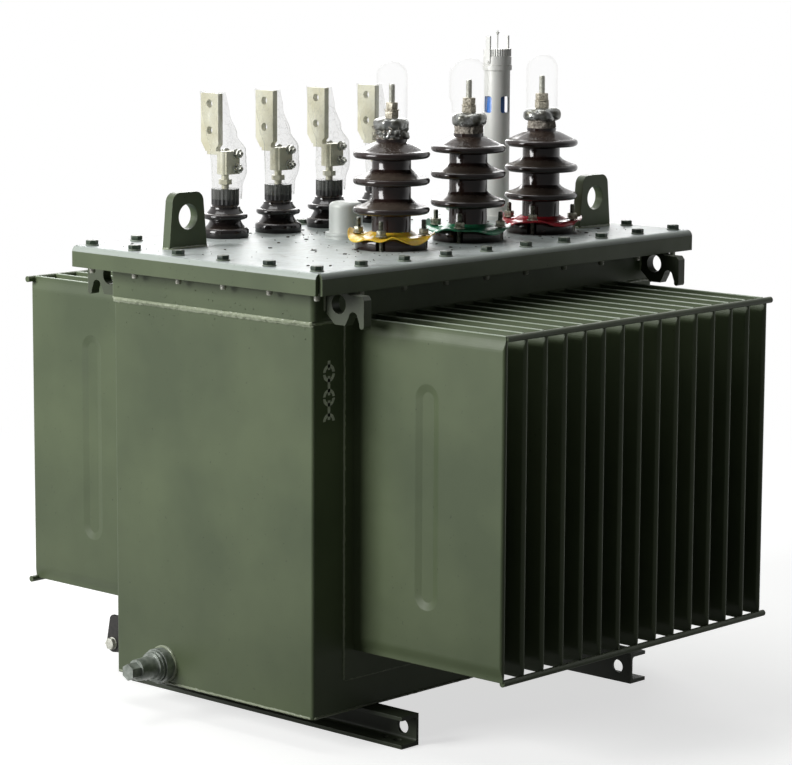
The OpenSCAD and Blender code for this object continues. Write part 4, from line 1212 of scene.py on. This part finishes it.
# %% Float of the gauge
float_low, float_high = box_mm("gauge_float")
float_axis = centre_mm("gauge_float")
FLOAT_RADIUS = (float_high.x - float_low.x) / 2 + 2.5
FLOAT_SHIFT = Vector((-1.5, 1.6))
leaning_float = bmesh.new()
float_length = float_high.z - float_low.z
float_outline = [(0, 0), (FLOAT_RADIUS - 1, 0), (FLOAT_RADIUS, 1), (FLOAT_RADIUS, float_length - 4)]
float_outline += [(FLOAT_RADIUS - 1.2, float_length - 1.2), (FLOAT_RADIUS - 4, float_length)]
turned(leaning_float, float_outline + [(0, float_length)], 64)
float_place = (float_axis.x + FLOAT_SHIFT.x, float_axis.y + FLOAT_SHIFT.y, float_low.z)
bmesh.ops.translate(leaning_float, vec=float_place, verts=leaning_float.verts)
float_piece = finish_piece("leaning_gauge_float", leaning_float, BLUE_FLOAT)
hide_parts("gauge_float")

# %% [markdown]
# A sling mark is stencilled on the wall strip beside the fins: a chain of broken oval links, which tells
# a crane driver where the slings hang. It is plain paint through a cut stencil, so it is a thin flat
# relief. A link is a flat ring, cut into two halves by removing a strip across its middle.

# %% Sling mark
STROKE = 5.2
MARK_X = -368.3
LINK_HALF_WIDTH, LINK_HALF_HEIGHT = 12.6, 13.4
LINK_MIDDLES = (575.2, 538.4, 501.5)
LINK_GAP = 1.3
BAR_ENDS = ((580, 594), (541.7, 571), (504.8, 534.2))


def mark_bar(mesh, low, high):
    """An upright stroke of the stencil on the mark's middle line."""
    bmesh.ops.create_grid(mesh, x_segments=1, y_segments=6, size=0.5,
                          matrix=Matrix.Translation((0, (low + high) / 2, 0))
                          @ Matrix.Diagonal((STROKE, high - low, 1, 1)))


mark = bmesh.new()
for number, middle in enumerate(LINK_MIDDLES):
    link = bmesh.new()
    bmesh.ops.create_circle(link, segments=48, radius=1)
    bmesh.ops.scale(link, vec=(LINK_HALF_WIDTH, LINK_HALF_HEIGHT, 1), verts=link.verts)
    grown = bmesh.ops.extrude_edge_only(link, edges=link.edges)
    inner = [v for v in grown["geom"] if isinstance(v, bmesh.types.BMVert)]
    bmesh.ops.scale(link, vec=(1 - STROKE / LINK_HALF_WIDTH, 1 - STROKE / LINK_HALF_HEIGHT, 1), verts=inner)
    for keep in (LINK_GAP, -LINK_GAP):
        bmesh.ops.bisect_plane(link, geom=link.verts[:] + link.edges[:] + link.faces[:],
                               plane_co=(0, keep, 0), plane_no=(0, 1, 0))
    middle_faces = [f for f in link.faces if abs(f.calc_center_median().y) < LINK_GAP]
    if number == len(LINK_MIDDLES) - 1:
        middle_faces += [f for f in link.faces if f.calc_center_median().y < -LINK_GAP]
    bmesh.ops.delete(link, geom=middle_faces, context="FACES")
    add_copies(mark, link, [Matrix.Translation((0, middle, 0))])
for low, high in BAR_ENDS:
    mark_bar(mark, low, high)
for v in mark.verts:
    v.co.xy += Vector((0.5 * noise.noise(v.co / 6), 0.5 * noise.noise(v.co / 6 + Vector((9, 0, 0)))))
upright = Matrix.Translation((MARK_X, -SIDE_Y - 0.12, 0)) @ ALONG_Y
bmesh.ops.transform(mark, matrix=upright, verts=mark.verts)
bmesh.ops.solidify(mark, geom=list(mark.faces), thickness=0.1)
finish_piece("sling_mark", mark, STENCIL_PAINT, sharp=60)
